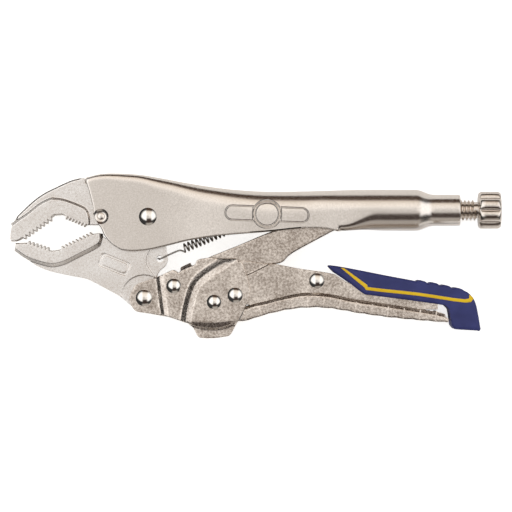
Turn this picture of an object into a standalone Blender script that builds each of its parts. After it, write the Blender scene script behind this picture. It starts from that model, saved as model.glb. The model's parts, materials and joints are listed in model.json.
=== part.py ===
"""Curved-jaw locking pliers, 10 inch class, lying on one side.

The tool is drawn in its own plane, in millimetres: x runs from the jaws to the adjusting knob, y runs
across the handles, z is the thickness and is zero at mid thickness. The jaw pivot is the drawing's
origin. Each piece is then hung on the empty of the body that carries it, which sits on the joint's axis.
"""

import math

import bmesh
import bpy
from mathutils import Matrix, Vector

# ---------------------------------------------------------------- driving dimensions, mm
MM = 0.001
CLEARANCE = 0.3                      # between pieces that touch on the real tool
FRAME_SHIFT = (-55.7, 20.3, 14.2)    # from the drawing's origin to the base centre of the whole tool

JAW_PIVOT = (0.0, 0.0)
LEVER_PIVOT = (-2.1, -42.1)
TOGGLE_PIVOT = (13.4, -35.9)
STOP_RIVET = (34.3, -44.1)
RELEASE_PIVOT = (45.2, -40.6)
GRIP_RIVET = (87.4, -33.2)
JAW_PIN = (-24.3, 0.1)
SPRING_HOLE = (6.0, -22.0)
SPRING_ANCHOR = (50.7, -3.2)
SCREW_AXIS_Y = 3.4
RECESS_CENTRE = (-17.5, -24.7)       # stamped panel on each side of the lower jaw
RECESS_SIZE = (16.4, 7.4)
RECESS_CORNER = 2.4
RECESS_TURN = -22.0
RECESS_DEPTH = 0.4

# half thicknesses across the tool
JAW_HALF = 4.8
TOOTH_BAND_HALF = 6.0
JAW_TAIL_HALF = 3.9
SPRING_LUG_HALF = 1.4
CHEEK_HALF = 7.5                     # outside of the fixed handle at the jaws
CHANNEL_HALF = 9.3                   # outside of the fixed handle in the middle
TUBE_RADIUS = 10.7
NECK_RADIUS = 8.1
HANDLE_SHEET = 2.4
LEVER_SHEET = 2.1
EAR_HALF = 6.3                       # outside of the main lever at the jaw, then after each joggle
MIDDLE_HALF = 8.6
WIDE_HALF = 12.2
REAR_HALF = 11.6
RELEASE_HALF = 9.2
RELEASE_SHEET = 2.0
FINGER_STOP_HALF = 8.4
LINK_HALF = 5.5
LINK_SHEET = 2.0
LINK_END_HALF = 2.8
CHEEK_LUG_HALF = 5.9                 # inside of the release lever's cheeks, just clear of the link
GRIP_HALF = 11.3
STRIPE_PROUD = 0.25
STRIPE_SEAT = 0.8

RIVET_SHANK = 2.6
JAW_PIN_RADIUS = 1.9
ANCHOR_RADIUS = 1.5
SPRING_HOLE_RADIUS = 1.7
DOME_HEIGHT = 1.9
HEAD_SEAT = 0.1

SPRING_RADIUS = 2.1
SPRING_WIRE = 0.9
SPRING_PITCH = 1.75

SCREW_TIP_X = 114.0
NECK_START_X = 148.3
NECK_END_X = 162.1
KNOB_START_X = 171.6
KNOB_END_X = 183.1
KNOB_RADIUS = 10.0
KNOB_LOBES = 8
THREAD_CREST = 5.65
THREAD_ROOT = 4.75
THREAD_PITCH = 2.0
HEX_SOCKET_FLATS = 5.0

ROUND_STEPS = 16
HOLE_STEP = 22.5                     # degrees between the points of a hole
FAR = 30.0                           # past the outside of the tool on either side

# ---------------------------------------------------------------- finishes
# (red, green, blue), roughness, metallic
FINISHES = {
    "plated_steel": ((0.56, 0.53, 0.50), 0.32, 1.0),
    "polished_rivet": ((0.70, 0.69, 0.67), 0.15, 1.0),
    "spring_wire": ((0.22, 0.21, 0.20), 0.35, 1.0),
    "navy_rubber": ((0.045, 0.052, 0.17), 0.55, 0.0),
    "yellow_rubber": ((0.78, 0.56, 0.03), 0.50, 0.0),
}


# ---------------------------------------------------------------- scene
for old in list(bpy.data.objects):
    bpy.data.objects.remove(old)

pliers = bpy.data.collections.new("locking_pliers")
bpy.context.scene.collection.children.link(pliers)


def empty(name, pivot):
    marker = bpy.data.objects.new(name, None)
    marker.empty_display_size = 10 * MM
    marker.location = (Vector((*pivot, 0.0)) + Vector(FRAME_SHIFT)) * MM
    pliers.objects.link(marker)
    return marker


PIVOTS = {
    "fixed_handle": JAW_PIVOT,
    "lower_jaw": JAW_PIVOT,
    "main_lever": LEVER_PIVOT,
    "toggle_link": TOGGLE_PIVOT,
    "release_lever": RELEASE_PIVOT,
    "screw": (SCREW_TIP_X, SCREW_AXIS_Y),
}
EMPTIES = {body: empty(body + "_axis", pivot) for body, pivot in PIVOTS.items()}


def finish_material(obj, finish):
    colour, roughness, metallic = FINISHES[finish]
    material = bpy.data.materials.new(obj.name + "_" + finish)
    material.use_nodes = True
    shader = material.node_tree.nodes["Principled BSDF"]
    shader.inputs["Base Color"].default_value = (*colour, 1.0)
    shader.inputs["Roughness"].default_value = roughness
    shader.inputs["Metallic"].default_value = metallic
    obj.data.materials.clear()
    obj.data.materials.append(material)


def place(obj, body, finish, smooth_angle=30):
    """Hang a finished piece on its body's empty, with its origin on the joint's axis."""
    obj.data.transform(Matrix.Translation(-Vector((*PIVOTS[body], 0.0)) * MM))
    obj.parent = EMPTIES[body]
    finish_material(obj, finish)
    obj.data.shade_smooth()
    obj.data.set_sharp_from_angle(angle=math.radians(smooth_angle))
    return obj


# ---------------------------------------------------------------- modelling helpers
def add(name, data):
    obj = bpy.data.objects.new(name, data)
    pliers.objects.link(obj)
    return obj


def bake(obj):
    """Turn an object and its modifiers into a plain welded mesh that keeps its place."""
    bpy.context.view_layer.update()
    evaluated = obj.evaluated_get(bpy.context.evaluated_depsgraph_get())
    mesh = bpy.data.meshes.new_from_object(evaluated)
    mesh.transform(obj.matrix_world)
    name = obj.name
    bpy.data.objects.remove(obj)
    form = bmesh.new()
    form.from_mesh(mesh)
    bmesh.ops.remove_doubles(form, verts=form.verts, dist=1e-6)
    form.to_mesh(mesh)
    form.free()
    return add(name, mesh)


def face_outwards(obj):
    form = bmesh.new()
    form.from_mesh(obj.data)
    bmesh.ops.recalc_face_normals(form, faces=form.faces)
    form.to_mesh(obj.data)
    form.free()


def boolean(target, other, operation):
    modifier = target.modifiers.new(operation.lower(), "BOOLEAN")
    modifier.operation = operation
    modifier.object = other
    result = bake(target)
    bpy.data.objects.remove(other)
    return result


def cut(target, cutter):
    return boolean(target, cutter, "DIFFERENCE")


def join(target, other):
    return boolean(target, other, "UNION")


def keep_inside(target, other):
    return boolean(target, other, "INTERSECT")


def arc(centre, radius, start, end, step=20.0):
    """Points on an arc, angles in degrees, both ends included."""
    count = max(1, math.ceil(abs(end - start) / step))
    angles = [math.radians(start + (end - start) * i / count) for i in range(count + 1)]
    return [(centre[0] + radius * math.cos(a), centre[1] + radius * math.sin(a)) for a in angles]


def rounded(points, step=24.0):
    """A closed outline; a corner given as (x, y, r) is rounded to radius r."""
    outline = []
    for i, point in enumerate(points):
        if len(point) == 2:
            outline.append(point)
            continue
        corner = Vector(point[:2])
        before = (Vector(points[i - 1][:2]) - corner)
        after = (Vector(points[(i + 1) % len(points)][:2]) - corner)
        half = before.angle(after) / 2
        back = min(point[2] / math.tan(half), 0.49 * before.length, 0.49 * after.length)
        radius = back * math.tan(half)
        centre = corner + (before.normalized() + after.normalized()).normalized() * (radius / math.sin(half))
        first = corner + before.normalized() * back - centre
        turn = first.angle_signed(corner + after.normalized() * back - centre)
        count = max(1, math.ceil(abs(math.degrees(turn)) / step))
        for k in range(count + 1):
            spoke = Matrix.Rotation(-turn * k / count, 2) @ first
            outline.append(tuple(centre + spoke))
    return outline


def smooth_path(points, per_span=3):
    """A Catmull-Rom curve through a few points, ends included."""
    ends = [Vector(points[0]) * 2 - Vector(points[1])]
    ends += [Vector(p) for p in points]
    ends += [Vector(points[-1]) * 2 - Vector(points[-2])]
    path = []
    for a, b, c, d in zip(ends, ends[1:], ends[2:], ends[3:]):
        for k in range(per_span):
            t = k / per_span
            path.append(tuple(0.5 * (2 * b + (c - a) * t + (2 * a - 5 * b + 4 * c - d) * t * t
                                     + (3 * b - a - 3 * c + d) * t ** 3)))
    return path + [tuple(points[-1])]


def prism(name, outline, z_low, z_high, holes=()):
    """A flat plate of one outline, with round holes given as (x, y, radius)."""
    curve = bpy.data.curves.new(name, "CURVE")
    curve.dimensions = "2D"
    curve.fill_mode = "BOTH"
    curve.extrude = (z_high - z_low) / 2 * MM
    loops = [outline] + [arc((x, y), r, 0, 360, 360 / ROUND_STEPS)[:-1] for x, y, r in holes]
    for loop in loops:
        spline = curve.splines.new("POLY")
        spline.points.add(len(loop) - 1)
        for point, (x, y) in zip(spline.points, loop):
            point.co = (x * MM, y * MM, 0.0, 1.0)
        spline.use_cyclic_u = True
    obj = add(name, curve)
    obj.location.z = (z_low + z_high) / 2 * MM
    return bake(obj)


def both_sides(outline, z_low, z_high, holes=()):
    """The same plate on each side of the middle."""
    return [prism("plate", outline, a, b, holes) for a, b in ((z_low, z_high), (-z_high, -z_low))]


def round_hole(obj, centre, radius, half=FAR):
    """Drill through from one side to the other, or only as deep as half on each side of the middle."""
    return cut(obj, prism("hole", arc(centre, radius, 0, 360, HOLE_STEP)[:-1], -half, half))


def bar(outline_low, outline_high):
    """An outline made of one edge run and the opposite edge run."""
    return list(outline_low) + list(reversed(outline_high))


def turned(name, profile, steps=ROUND_STEPS):
    """A solid of revolution about z: the profile is (radius, z) and runs down its outer side."""
    mesh = bpy.data.meshes.new(name)
    verts = [(r * MM, 0.0, z * MM) for r, z in profile]
    mesh.from_pydata(verts, [(i, i + 1) for i in range(len(verts) - 1)], [])
    obj = add(name, mesh)
    screw = obj.modifiers.new("turn", "SCREW")
    screw.steps = steps
    screw.render_steps = steps
    screw.use_merge_vertices = True
    screw.merge_threshold = 0.00001
    return bake(obj)


def along_x(obj, x, y):
    """Lay a turned piece down so that its +z axis points along +x from (x, y)."""
    obj.data.transform(Matrix.Translation(Vector((x, y, 0.0)) * MM) @ Matrix.Rotation(math.pi / 2, 4, "Y"))
    return obj


def at(obj, x, y):
    obj.data.transform(Matrix.Translation(Vector((x, y, 0.0)) * MM))
    return obj


def dome(radius, height, z_seat):
    """Profile of a domed rivet head, from its crown out to its rim."""
    sphere = (radius ** 2 + height ** 2) / (2 * height)
    reach = math.asin(min(1.0, radius / sphere))
    angles = [reach * k / 3 for k in range(4)]
    return [(sphere * math.sin(a), z_seat + height - sphere * (1 - math.cos(a))) for a in angles]


def rivet(name, centre, grip_half, head_radius, body, height=DOME_HEIGHT, shank=RIVET_SHANK):
    """A rivet through the tool with a domed head on both sides."""
    seat = grip_half + HEAD_SEAT
    upper = dome(head_radius, height, seat)
    profile = upper + [(shank, seat), (shank, -seat)]
    profile += [(r, -z) for r, z in reversed(upper)]
    return place(at(turned(name, profile), *centre), body, "polished_rivet")


def wire(name, points, diameter):
    """A bent wire through 3-D points in mm."""
    curve = bpy.data.curves.new(name, "CURVE")
    curve.dimensions = "3D"
    curve.bevel_depth = diameter / 2 * MM
    curve.bevel_resolution = 1
    curve.use_fill_caps = True
    spline = curve.splines.new("POLY")
    spline.points.add(len(points) - 1)
    for point, co in zip(spline.points, points):
        point.co = (*(Vector(co) * MM), 1.0)
    return bake(add(name, curve))


def coil(start, axis, across, radius, pitch, turns, per_turn=8):
    """Points of a helix from start along axis; across is the side where it begins."""
    axis = Vector(axis).normalized()
    across = Vector(across).normalized()
    third = axis.cross(across)
    points = []
    for k in range(int(turns * per_turn) + 1):
        a = 2 * math.pi * k / per_turn
        spoke = (across * math.cos(a) + third * math.sin(a)) * radius
        points.append(tuple(Vector(start) + axis * (pitch * k / per_turn) + spoke))
    return points


def teeth(start, end, count, depth):
    """Points of a saw-toothed run from start to end; the teeth stand to the left of it."""
    start, end = Vector(start), Vector(end)
    step = (end - start) / count
    left = Vector((-step.y, step.x)).normalized() * depth
    run = []
    for k in range(count):
        run += [tuple(start + step * k), tuple(start + step * (k + 0.5) + left)]
    return run + [tuple(end)]


# ---------------------------------------------------------------- fixed handle
HANDLE_TOP = [(-38, 19.0), (-32, 20.3), (-25, 22.0), (-17, 22.5), (-5, 21.8), (6, 20.1), (20, 17.5),
              (40, 14.5), (60, 13.1), (80, 13.2), (100, 13.8), (112, 14.1), (140, 14.1)]
STATIONS = [-38, -30, -22, -14, -5, 6, 20, 34, 48, 64, 80, 92, 99, 105, 112, 120, 134, 140, 144.5]


def between(x, table):
    """Smooth-stepped value at x from a table of (x, value)."""
    if x <= table[0][0]:
        return table[0][1]
    for (x0, v0), (x1, v1) in zip(table, table[1:]):
        if x <= x1:
            t = (x - x0) / (x1 - x0)
            return v0 + (v1 - v0) * t * t * (3 - 2 * t)
    return table[-1][1]


def curve_height(x, points):
    """Height at x of a smooth curve through points."""
    path = smooth_path(points, 8)
    for (x0, y0), (x1, y1) in zip(path, path[1:]):
        if x <= x1:
            return y0 + (y1 - y0) * (x - x0) / (x1 - x0)
    return path[-1][1]


def handle_section(x):
    """Half of the folded sheet at x: points (z, y) from the open bottom edge up to the top middle."""
    neck = between(x, [(139, 0.0), (NECK_START_X, 1.0)])
    half = between(x, [(8, CHEEK_HALF), (52, CHANNEL_HALF), (80, CHANNEL_HALF), (112, TUBE_RADIUS)])
    half += (NECK_RADIUS - TUBE_RADIUS) * neck
    top = curve_height(min(x, 140), HANDLE_TOP) + (SCREW_AXIS_Y + NECK_RADIUS - HANDLE_TOP[-1][1]) * neck
    low = between(x, [(20, -30.0), (70, -14.0), (90, -12.0), (100, SCREW_AXIS_Y - TUBE_RADIUS)])
    low += (TUBE_RADIUS - NECK_RADIUS) * neck
    bend = between(x, [(-20, 2.6), (48, 4.6), (80, 5.2), (112, TUBE_RADIUS)])
    bend = min(bend, half - 0.01)
    curl = between(x, [(101, 3.6), (119, TUBE_RADIUS)])
    curl = min(curl, half - 0.01)
    gap = between(x, [(104, 7.3), (124, 1.2), (140, 0.5)])
    start = -90.0
    if gap > half - curl:
        start = -math.degrees(math.acos((gap - (half - curl)) / curl))
    lower = arc((half - curl, low + curl), curl, start, 0, abs(start) / 4.5)
    upper = arc((half - bend, top - bend), bend, 0, 90, 22.5)
    return lower + upper + [(0.0, top)]


def sheet_loft(name, sections, thickness):
    """Fold a sheet over a row of half sections, mirror it and give it its thickness inwards."""
    mesh = bpy.data.meshes.new(name)
    form = bmesh.new()
    rows = []
    for x, section in sections:
        half = [form.verts.new((x * MM, y * MM, z * MM)) for z, y in section]
        rest = [form.verts.new((x * MM, y * MM, -z * MM)) for z, y in reversed(section[:-1])]
        rows.append(half + rest)
    for a, b in zip(rows, rows[1:]):
        for k in range(len(a) - 1):
            form.faces.new((a[k], b[k], b[k + 1], a[k + 1]))
    form.to_mesh(mesh)
    form.free()
    obj = add(name, mesh)
    shell = obj.modifiers.new("sheet", "SOLIDIFY")
    shell.thickness = thickness * MM
    shell.offset = -1.0
    return bake(obj)


HANDLE_SIDE = rounded([
    (-32.4, 24.0), (-32.3, 20.4), (-31.9, 17.5), (-30.3, 12.3), (-28.4, 5.0, 4), (-28.6, -0.5, 4),
    (-25.0, -4.6, 2), (-23.2, -9.0, 8), (-18.5, -15.2, 8), (-10.0, -18.6, 10), (0.9, -17.1, 20),
    (21.7, -12.2, 60), (37.3, -9.8, 60), (63.3, -7.7, 60), (78.9, -6.1, 40), (90.0, -6.0, 20),
    (98.0, -7.3), (104.0, -7.6), (112.0, -13.0), (170.0, -13.0), (170.0, 24.0)])


def make_fixed_handle():
    stations = STATIONS + [NECK_START_X, NECK_START_X + 4, NECK_END_X]
    sections = [(x, handle_section(x)) for x in stations]
    handle = sheet_loft("fixed_handle", sections, HANDLE_SHEET)
    handle = keep_inside(handle, prism("side", HANDLE_SIDE, -FAR, FAR))
    handle = round_hole(handle, JAW_PIVOT, RIVET_SHANK + 0.4)
    handle = round_hole(handle, JAW_PIN, JAW_PIN_RADIUS + CLEARANCE)
    blind_end = CHANNEL_HALF - HANDLE_SHEET / 2
    handle = round_hole(handle, SPRING_ANCHOR, ANCHOR_RADIUS + 0.2, blind_end)
    return place(handle, "fixed_handle", "plated_steel")


# ---------------------------------------------------------------- jaws
UPPER_TEETH = (teeth((-31.8, -4.4), (-42.8, 0.2), 7, 0.8) + [(-44.4, 0.9), (-48.6, 0.6)]
               + teeth((-50.2, -0.6), (-65.2, -11.2), 8, 0.9))
LOWER_TEETH = (teeth((-62.9, -13.6), (-51.2, -17.4), 6, 0.8) + [(-49.8, -17.6), (-46.4, -17.2)]
               + teeth((-45.0, -16.8), (-28.6, -8.9), 9, 0.8))


def raised_band(jaw, reliefs, half):
    """Thin the jaw down to half wherever it is outside its tooth band."""
    for relief in reliefs:
        for a, b in ((half, FAR), (-FAR, -half)):
            jaw = cut(jaw, prism("relief", relief, a, b))
    return jaw


def make_fixed_jaw():
    inner_top = smooth_path([(-32.3, 17.2), (-25, 19.1), (-17, 19.6), (-6, 18.8), (2, 17.6)], 2)
    ear_recess = arc(JAW_PIVOT, 11.9, 78, 203, 16)
    outline = [(-32.8, 20.0), (-32.3, 17.2)] + inner_top[1:] + ear_recess
    outline += [(-14.5, -4.4), (-31.0, -4.4)] + UPPER_TEETH
    outline += [(-66.5, -12.2), (-71.4, -12.7), (-71.6, -9.5), (-70.9, -5.9), (-67.8, 0.4)]
    outline += smooth_path([(-67.8, 0.4), (-58.9, 8.7), (-48.5, 14.9), (-40.7, 18.4), (-35.5, 20.0)], 2)[1:]
    jaw = prism("fixed_jaw", outline, -TOOTH_BAND_HALF, TOOTH_BAND_HALF)
    band_top = [(-75.0, -6.6), (-69.3, -4.3), (-61.5, 1.4), (-53.7, 7.4), (-48.5, 8.7), (-43.3, 7.9),
                (-33.4, 4.0), (-31.4, 0.4), (-31.2, -9.0)]
    jaw = raised_band(jaw, [band_top + [(10.0, -9.0), (10.0, 30.0), (-75.0, 30.0)]], JAW_HALF)
    jaw = round_hole(jaw, JAW_PIN, JAW_PIN_RADIUS + CLEARANCE)
    return place(jaw, "fixed_handle", "plated_steel")


def recess_outline():
    long, short = RECESS_SIZE[0] / 2, RECESS_SIZE[1] / 2
    corners = [(-long, -short), (long, -short), (long, short), (-long, short)]
    panel = rounded([(*corner, RECESS_CORNER) for corner in corners])
    turn = math.radians(RECESS_TURN)
    return [(RECESS_CENTRE[0] + x * math.cos(turn) - y * math.sin(turn),
             RECESS_CENTRE[1] + x * math.sin(turn) + y * math.cos(turn)) for x, y in panel]


def make_lower_jaw():
    ear = arc(JAW_PIVOT, 11.2, -125 + 360, 0, 18)
    rear = [(9.4, -12.0), (9.4, -16.0), (10.0, -20.0), (10.2, -22.5), (9.0, -25.6), (6.0, -28.2), (4.6, -31.0)]
    tail = arc(LEVER_PIVOT, 7.4, 52, -110, 18)
    outline = LOWER_TEETH + [(-25.2, -8.5), (-23.6, -10.2), (-22.0, -11.4), (-14.0, -11.6)]
    outline += ear + rear + tail
    outline += [(-9.6, -45.6), (-14.7, -41.3), (-22.5, -37.0), (-30.3, -32.9), (-35.5, -31.4)]
    outline += smooth_path([(-40.7, -30.6), (-51.1, -28.2), (-58.9, -24.6), (-65.7, -19.1), (-68.6, -16.0)], 2)
    outline += [(-68.8, -13.4)]
    jaw = prism("lower_jaw", outline, -TOOTH_BAND_HALF, TOOTH_BAND_HALF)
    band_low = [(-66.0, -19.8), (-62.6, -20.7), (-56.3, -22.9), (-48.5, -24.2), (-43.3, -22.8), (-35.5, -18.9),
                (-26.6, -14.2), (-25.1, -12.1), (-25.3, -5.0)]
    jaw = raised_band(jaw, [band_low + [(-25.3, FAR), (40.0, FAR), (40.0, -60.0), (-80.0, -60.0),
                                        (-80.0, -19.8)]], JAW_HALF)
    lug = rounded([(1.4, -11.0), (1.4, -16.0), (-0.9, -20.5, 3), (-0.9, -25.0, 3), (4.2, -32.4),
                   (30.0, -32.4), (30.0, -11.0)])
    jaw = raised_band(jaw, [lug], SPRING_LUG_HALF)
    tail_relief = arc(LEVER_PIVOT, 12.0, 0, 360, 20)[:-1]
    jaw = raised_band(jaw, [tail_relief], JAW_TAIL_HALF)
    jaw = round_hole(jaw, JAW_PIVOT, RIVET_SHANK + 0.4)
    jaw = round_hole(jaw, LEVER_PIVOT, RIVET_SHANK + 0.4)
    jaw = round_hole(jaw, SPRING_HOLE, SPRING_HOLE_RADIUS)
    floor = JAW_HALF - RECESS_DEPTH
    for a, b in ((floor, FAR), (-FAR, -floor)):
        jaw = cut(jaw, prism("recess", recess_outline(), a, b))
    return place(jaw, "lower_jaw", "plated_steel")


# ---------------------------------------------------------------- main lever
JOGGLE_ONE = [(4.6, -31.2), (5.6, -38.1), (6.4, -43.3), (7.4, -51.4)]
JOGGLE_TWO_LEFT = [(16.9, -54.0), (17.5, -48.5), (18.8, -43.3), (20.1, -38.1), (21.7, -34.0), (24.3, -30.3),
                   (29.5, -26.2), (36.2, -21.7)]
JOGGLE_TWO_RIGHT = [(19.4, -54.9), (20.1, -49.6), (21.2, -44.9), (22.5, -39.7), (24.3, -35.5), (26.9, -32.1),
                    (32.1, -28.2), (39.9, -23.6), (44.6, -21.5)]
REAR_BOTTOM = [(46.6, -54.2), (52.9, -53.1), (59.6, -50.9), (68.5, -48.7), (76.8, -47.3), (84.1, -46.8),
               (91.9, -47.0), (100.7, -48.2), (109.0, -49.7), (125.9, -52.0), (145.4, -53.8), (155.4, -54.6)]
REAR_TOP = [(50.5, -46.5), (56.0, -44.6), (61.7, -43.4), (68.5, -41.6), (76.8, -39.8), (84.1, -39.1),
            (94.5, -39.9), (107.0, -42.5), (128.8, -45.8), (147.5, -48.8), (153.9, -50.2)]


def shifted(points, dx, dy):
    return [(x + dx, y + dy) for x, y in points]


def make_main_lever():
    shank = RIVET_SHANK + 0.1
    ear = rounded([(6.0, -31.0), (-6.8, -35.3, 6), (-10.4, -43.0, 6), (-6.8, -49.2, 4), (0.9, -50.3),
                   (8.6, -51.7), (7.4, -42.0)])
    pieces = both_sides(ear, EAR_HALF - LEVER_SHEET, EAR_HALF, [(*LEVER_PIVOT, shank)])
    first_step = bar(JOGGLE_ONE, shifted(JOGGLE_ONE, 2.1, 0.0))
    pieces += both_sides(first_step, EAR_HALF - LEVER_SHEET, MIDDLE_HALF)
    middle = [(5.0, -31.0), (11.3, -28.2), (12.8, -27.6), (14.4, -28.1), (15.4, -29.2), (16.4, -28.4),
              (16.6, -26.4), (21.9, -23.9), (23.2, -25.1), (24.6, -24.8), (25.1, -22.8), (26.9, -21.9),
              (33.0, -21.0), (38.0, -21.2)]
    middle += [(x + 0.4, y) for x, y in reversed(JOGGLE_TWO_LEFT[:-1])] + [(7.6, -51.6), (6.6, -42.0)]
    pieces += both_sides(middle, MIDDLE_HALF - LEVER_SHEET, MIDDLE_HALF, [(*TOGGLE_PIVOT, shank)])
    guide = [(16.9, -28.1), (16.8, -26.5), (21.8, -24.1), (22.6, -25.6)]
    pieces += both_sides(guide, LINK_END_HALF + 0.7, MIDDLE_HALF - 0.5)
    second_step = bar(JOGGLE_TWO_LEFT, JOGGLE_TWO_RIGHT)
    pieces += both_sides(second_step, MIDDLE_HALF - LEVER_SHEET, WIDE_HALF)
    wide = JOGGLE_TWO_RIGHT[:1] + [(x - 0.6, y) for x, y in JOGGLE_TWO_RIGHT[1:]]
    wide += rounded([(48.0, -21.5, 1.5), (51.1, -29.6), (53.2, -38.0, 8), (52.0, -43.5, 6), (46.6, -54.2),
                     (44.0, -57.0), (21.0, -56.6)])
    holes = [(*STOP_RIVET, shank), (*RELEASE_PIVOT, shank)]
    pieces += both_sides(wide, WIDE_HALF - LEVER_SHEET, WIDE_HALF, holes)
    rear = bar(REAR_BOTTOM, REAR_TOP)
    rear = [(44.0, -55.0)] + rear + [(46.0, -48.0)]
    pieces += both_sides(rear, REAR_HALF - LEVER_SHEET, REAR_HALF + 0.05)
    front_web = bar([(3.6, -50.8), (11.3, -51.9), (16.5, -53.2), (22.0, -56.0)],
                    [(3.6, -48.7), (11.3, -49.8), (16.5, -51.1), (22.0, -53.6)])
    pieces.append(prism("front_web", front_web, -MIDDLE_HALF, MIDDLE_HALF))
    shoulder = [(18.0, -53.8), (21.5, -57.0), (44.5, -57.0), (47.5, -54.0), (46.0, -52.5), (30.0, -54.6)]
    pieces += both_sides(shoulder, GRIP_HALF - 5.0, WIDE_HALF)
    stop = rounded([(20.4, -55.0), (23.6, -57.6, 3), (26.1, -62.8, 2.5), (34.2, -63.2, 40), (42.6, -61.8, 3),
                    (46.8, -53.8), (44.0, -53.2), (22.0, -53.2)])
    pocket = rounded([(23.8, -50.0), (26.0, -57.0, 2), (28.0, -60.9, 2), (34.2, -61.1, 40), (41.0, -59.9, 2),
                      (43.6, -50.0)])
    finger_stop = prism("finger_stop", stop, -FINGER_STOP_HALF, FINGER_STOP_HALF)
    pocket_half = FINGER_STOP_HALF - LEVER_SHEET
    pieces.append(cut(finger_stop, prism("pocket", pocket, -pocket_half, pocket_half)))
    rear_web = bar(REAR_BOTTOM, shifted(REAR_BOTTOM, 0.0, LEVER_SHEET))
    pieces.append(prism("rear_web", [(44.4, -56.2)] + rear_web + [(44.2, -53.4)], -REAR_HALF, REAR_HALF))
    lever = pieces[0]
    for piece in pieces[1:]:
        lever = join(lever, piece)
    lever.name = "main_lever"
    return place(lever, "main_lever", "plated_steel")


# ---------------------------------------------------------------- toggle link
LINK_TOP = [(17.0, -29.4), (26.0, -25.7), (31.0, -21.4), (37.3, -18.7), (47.7, -14.5), (61.7, -8.6),
            (74.0, -4.2), (86.0, -1.8), (104.0, 5.6)]
LINK_LOW = [(17.6, -39.6), (30.0, -34.8), (44.0, -29.3), (60.0, -25.6), (69.0, -23.9), (72.6, -20.7),
            (76.3, -18.1), (86.7, -12.4), (97.1, -6.9), (106.0, -2.4)]


def make_toggle_link():
    end = arc((SCREW_TIP_X - 1.7 - 4.6, SCREW_AXIS_Y - 0.7), 4.6, -62, 118, 22)
    side = LINK_LOW[1:] + end + list(reversed(LINK_TOP[1:]))
    walls = both_sides(side, LINK_HALF - LINK_SHEET, LINK_HALF)
    fold = bar(LINK_LOW[1:], shifted(LINK_LOW[1:], -0.8, LINK_SHEET))
    pieces = walls + [prism("fold", fold, -LINK_HALF, LINK_HALF)]
    nose = arc((SCREW_TIP_X - 1.7 - 4.6, SCREW_AXIS_Y - 0.7), 4.6, -62, 118, 22) + [(100.0, 3.0), (102.0, -4.0)]
    pieces.append(prism("nose", nose, -LINK_HALF, LINK_HALF))
    eye = arc(TOGGLE_PIVOT, 5.6, 111, 291, 20)
    eye += [(17.6, -39.4), (31.5, -34.2), (33.0, -21.6), (31.0, -21.6), (26.0, -25.9), (17.0, -29.6)]
    pieces.append(prism("eye", eye, -LINK_END_HALF, LINK_END_HALF, [(*TOGGLE_PIVOT, RIVET_SHANK + 0.4)]))
    gather = [(29.5, -34.0), (33.5, -32.6), (34.5, -20.8), (31.3, -22.0)]
    pieces.append(prism("gather", gather, -LINK_HALF + 0.2, LINK_HALF - 0.2))
    link = pieces[0]
    for piece in pieces[1:]:
        link = join(link, piece)
    link.name = "toggle_link"
    return place(link, "toggle_link", "plated_steel")


# ---------------------------------------------------------------- release lever and its grip
RELEASE_BACK = [(96.6, -29.8), (103.0, -34.0), (112.0, -36.6), (126.0, -39.0), (140.0, -41.3), (150.0, -43.2)]
RELEASE_UNDER = [(150.0, -47.4), (138.0, -46.6), (122.0, -45.2), (106.0, -43.6), (94.5, -42.6), (84.0, -42.6),
                 (70.0, -45.0), (58.0, -47.4)]
RELEASE_PLATE = [(26.2, -37.0), (36.0, -34.0), (44.0, -30.4), (51.1, -30.6), (62.2, -25.2), (66.4, -24.6),
                 (79.4, -27.1), (89.8, -28.5)]
RELEASE_PLATE += RELEASE_BACK + RELEASE_UNDER + arc(RELEASE_PIVOT, 7.6, -40, -130, 22)
RELEASE_PLATE += [(39.4, -41.3), (30.0, -41.2), (26.2, -40.0)]
CHEEK_LUG = [(45.8, -24.4), (47.4, -22.9), (49.4, -22.7), (63.3, -24.5), (70.0, -26.5), (72.0, -34.0),
             (58.0, -38.0), (50.0, -31.6)]


def make_release_lever():
    inner = RELEASE_HALF - RELEASE_SHEET
    holes = [(*RELEASE_PIVOT, RIVET_SHANK + 0.3), (*GRIP_RIVET, RIVET_SHANK - 0.4)]
    pieces = both_sides(RELEASE_PLATE, inner, RELEASE_HALF, holes)
    pieces += both_sides(CHEEK_LUG, CHEEK_LUG_HALF, inner + 0.5)
    nose = [(26.2, -37.0), (32.0, -35.3), (32.0, -38.8), (26.2, -40.0)]
    pieces.append(prism("nose", nose, -RELEASE_HALF + 1, RELEASE_HALF - 1))
    back_web = bar(RELEASE_BACK[1:], shifted(RELEASE_BACK[1:], 0.0, -RELEASE_SHEET))
    pieces.append(prism("back_web", back_web, -RELEASE_HALF + 1, RELEASE_HALF - 1))
    lever = pieces[0]
    for piece in pieces[1:]:
        lever = join(lever, piece)
    lever.name = "release_lever"
    return place(lever, "release_lever", "plated_steel")


GRIP_TOP = [(92.4, -25.0), (98.6, -25.7), (111.6, -28.1), (123.1, -30.4), (137.1, -33.0)]
RIDGES = [(139.6, -33.2), (145.9, -34.3), (152.1, -35.6), (158.3, -37.0)]
RIDGE_RISE = 0.7


def grip_outline():
    outline = list(GRIP_TOP)
    for x, y in RIDGES:
        outline += [(x - 0.4, y - 0.4), (x + 0.6, y + RIDGE_RISE - 0.3), (x + 4.2, y - 0.5), (x + 5.2, y - 1.5)]
    outline += [(165.2, -38.9), (167.6, -41.2), (169.5, -44.6), (170.8, -50.3), (172.2, -58.4), (171.4, -59.1),
                (158.5, -58.2), (156.9, -56.3), (156.2, -51.0), (155.6, -47.8), (153.6, -45.9)]
    outline += [(145.4, -44.8), (128.8, -42.5), (114.8, -40.7), (111.1, -39.7), (102.3, -32.9), (96.0, -28.7)]
    return outline


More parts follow.
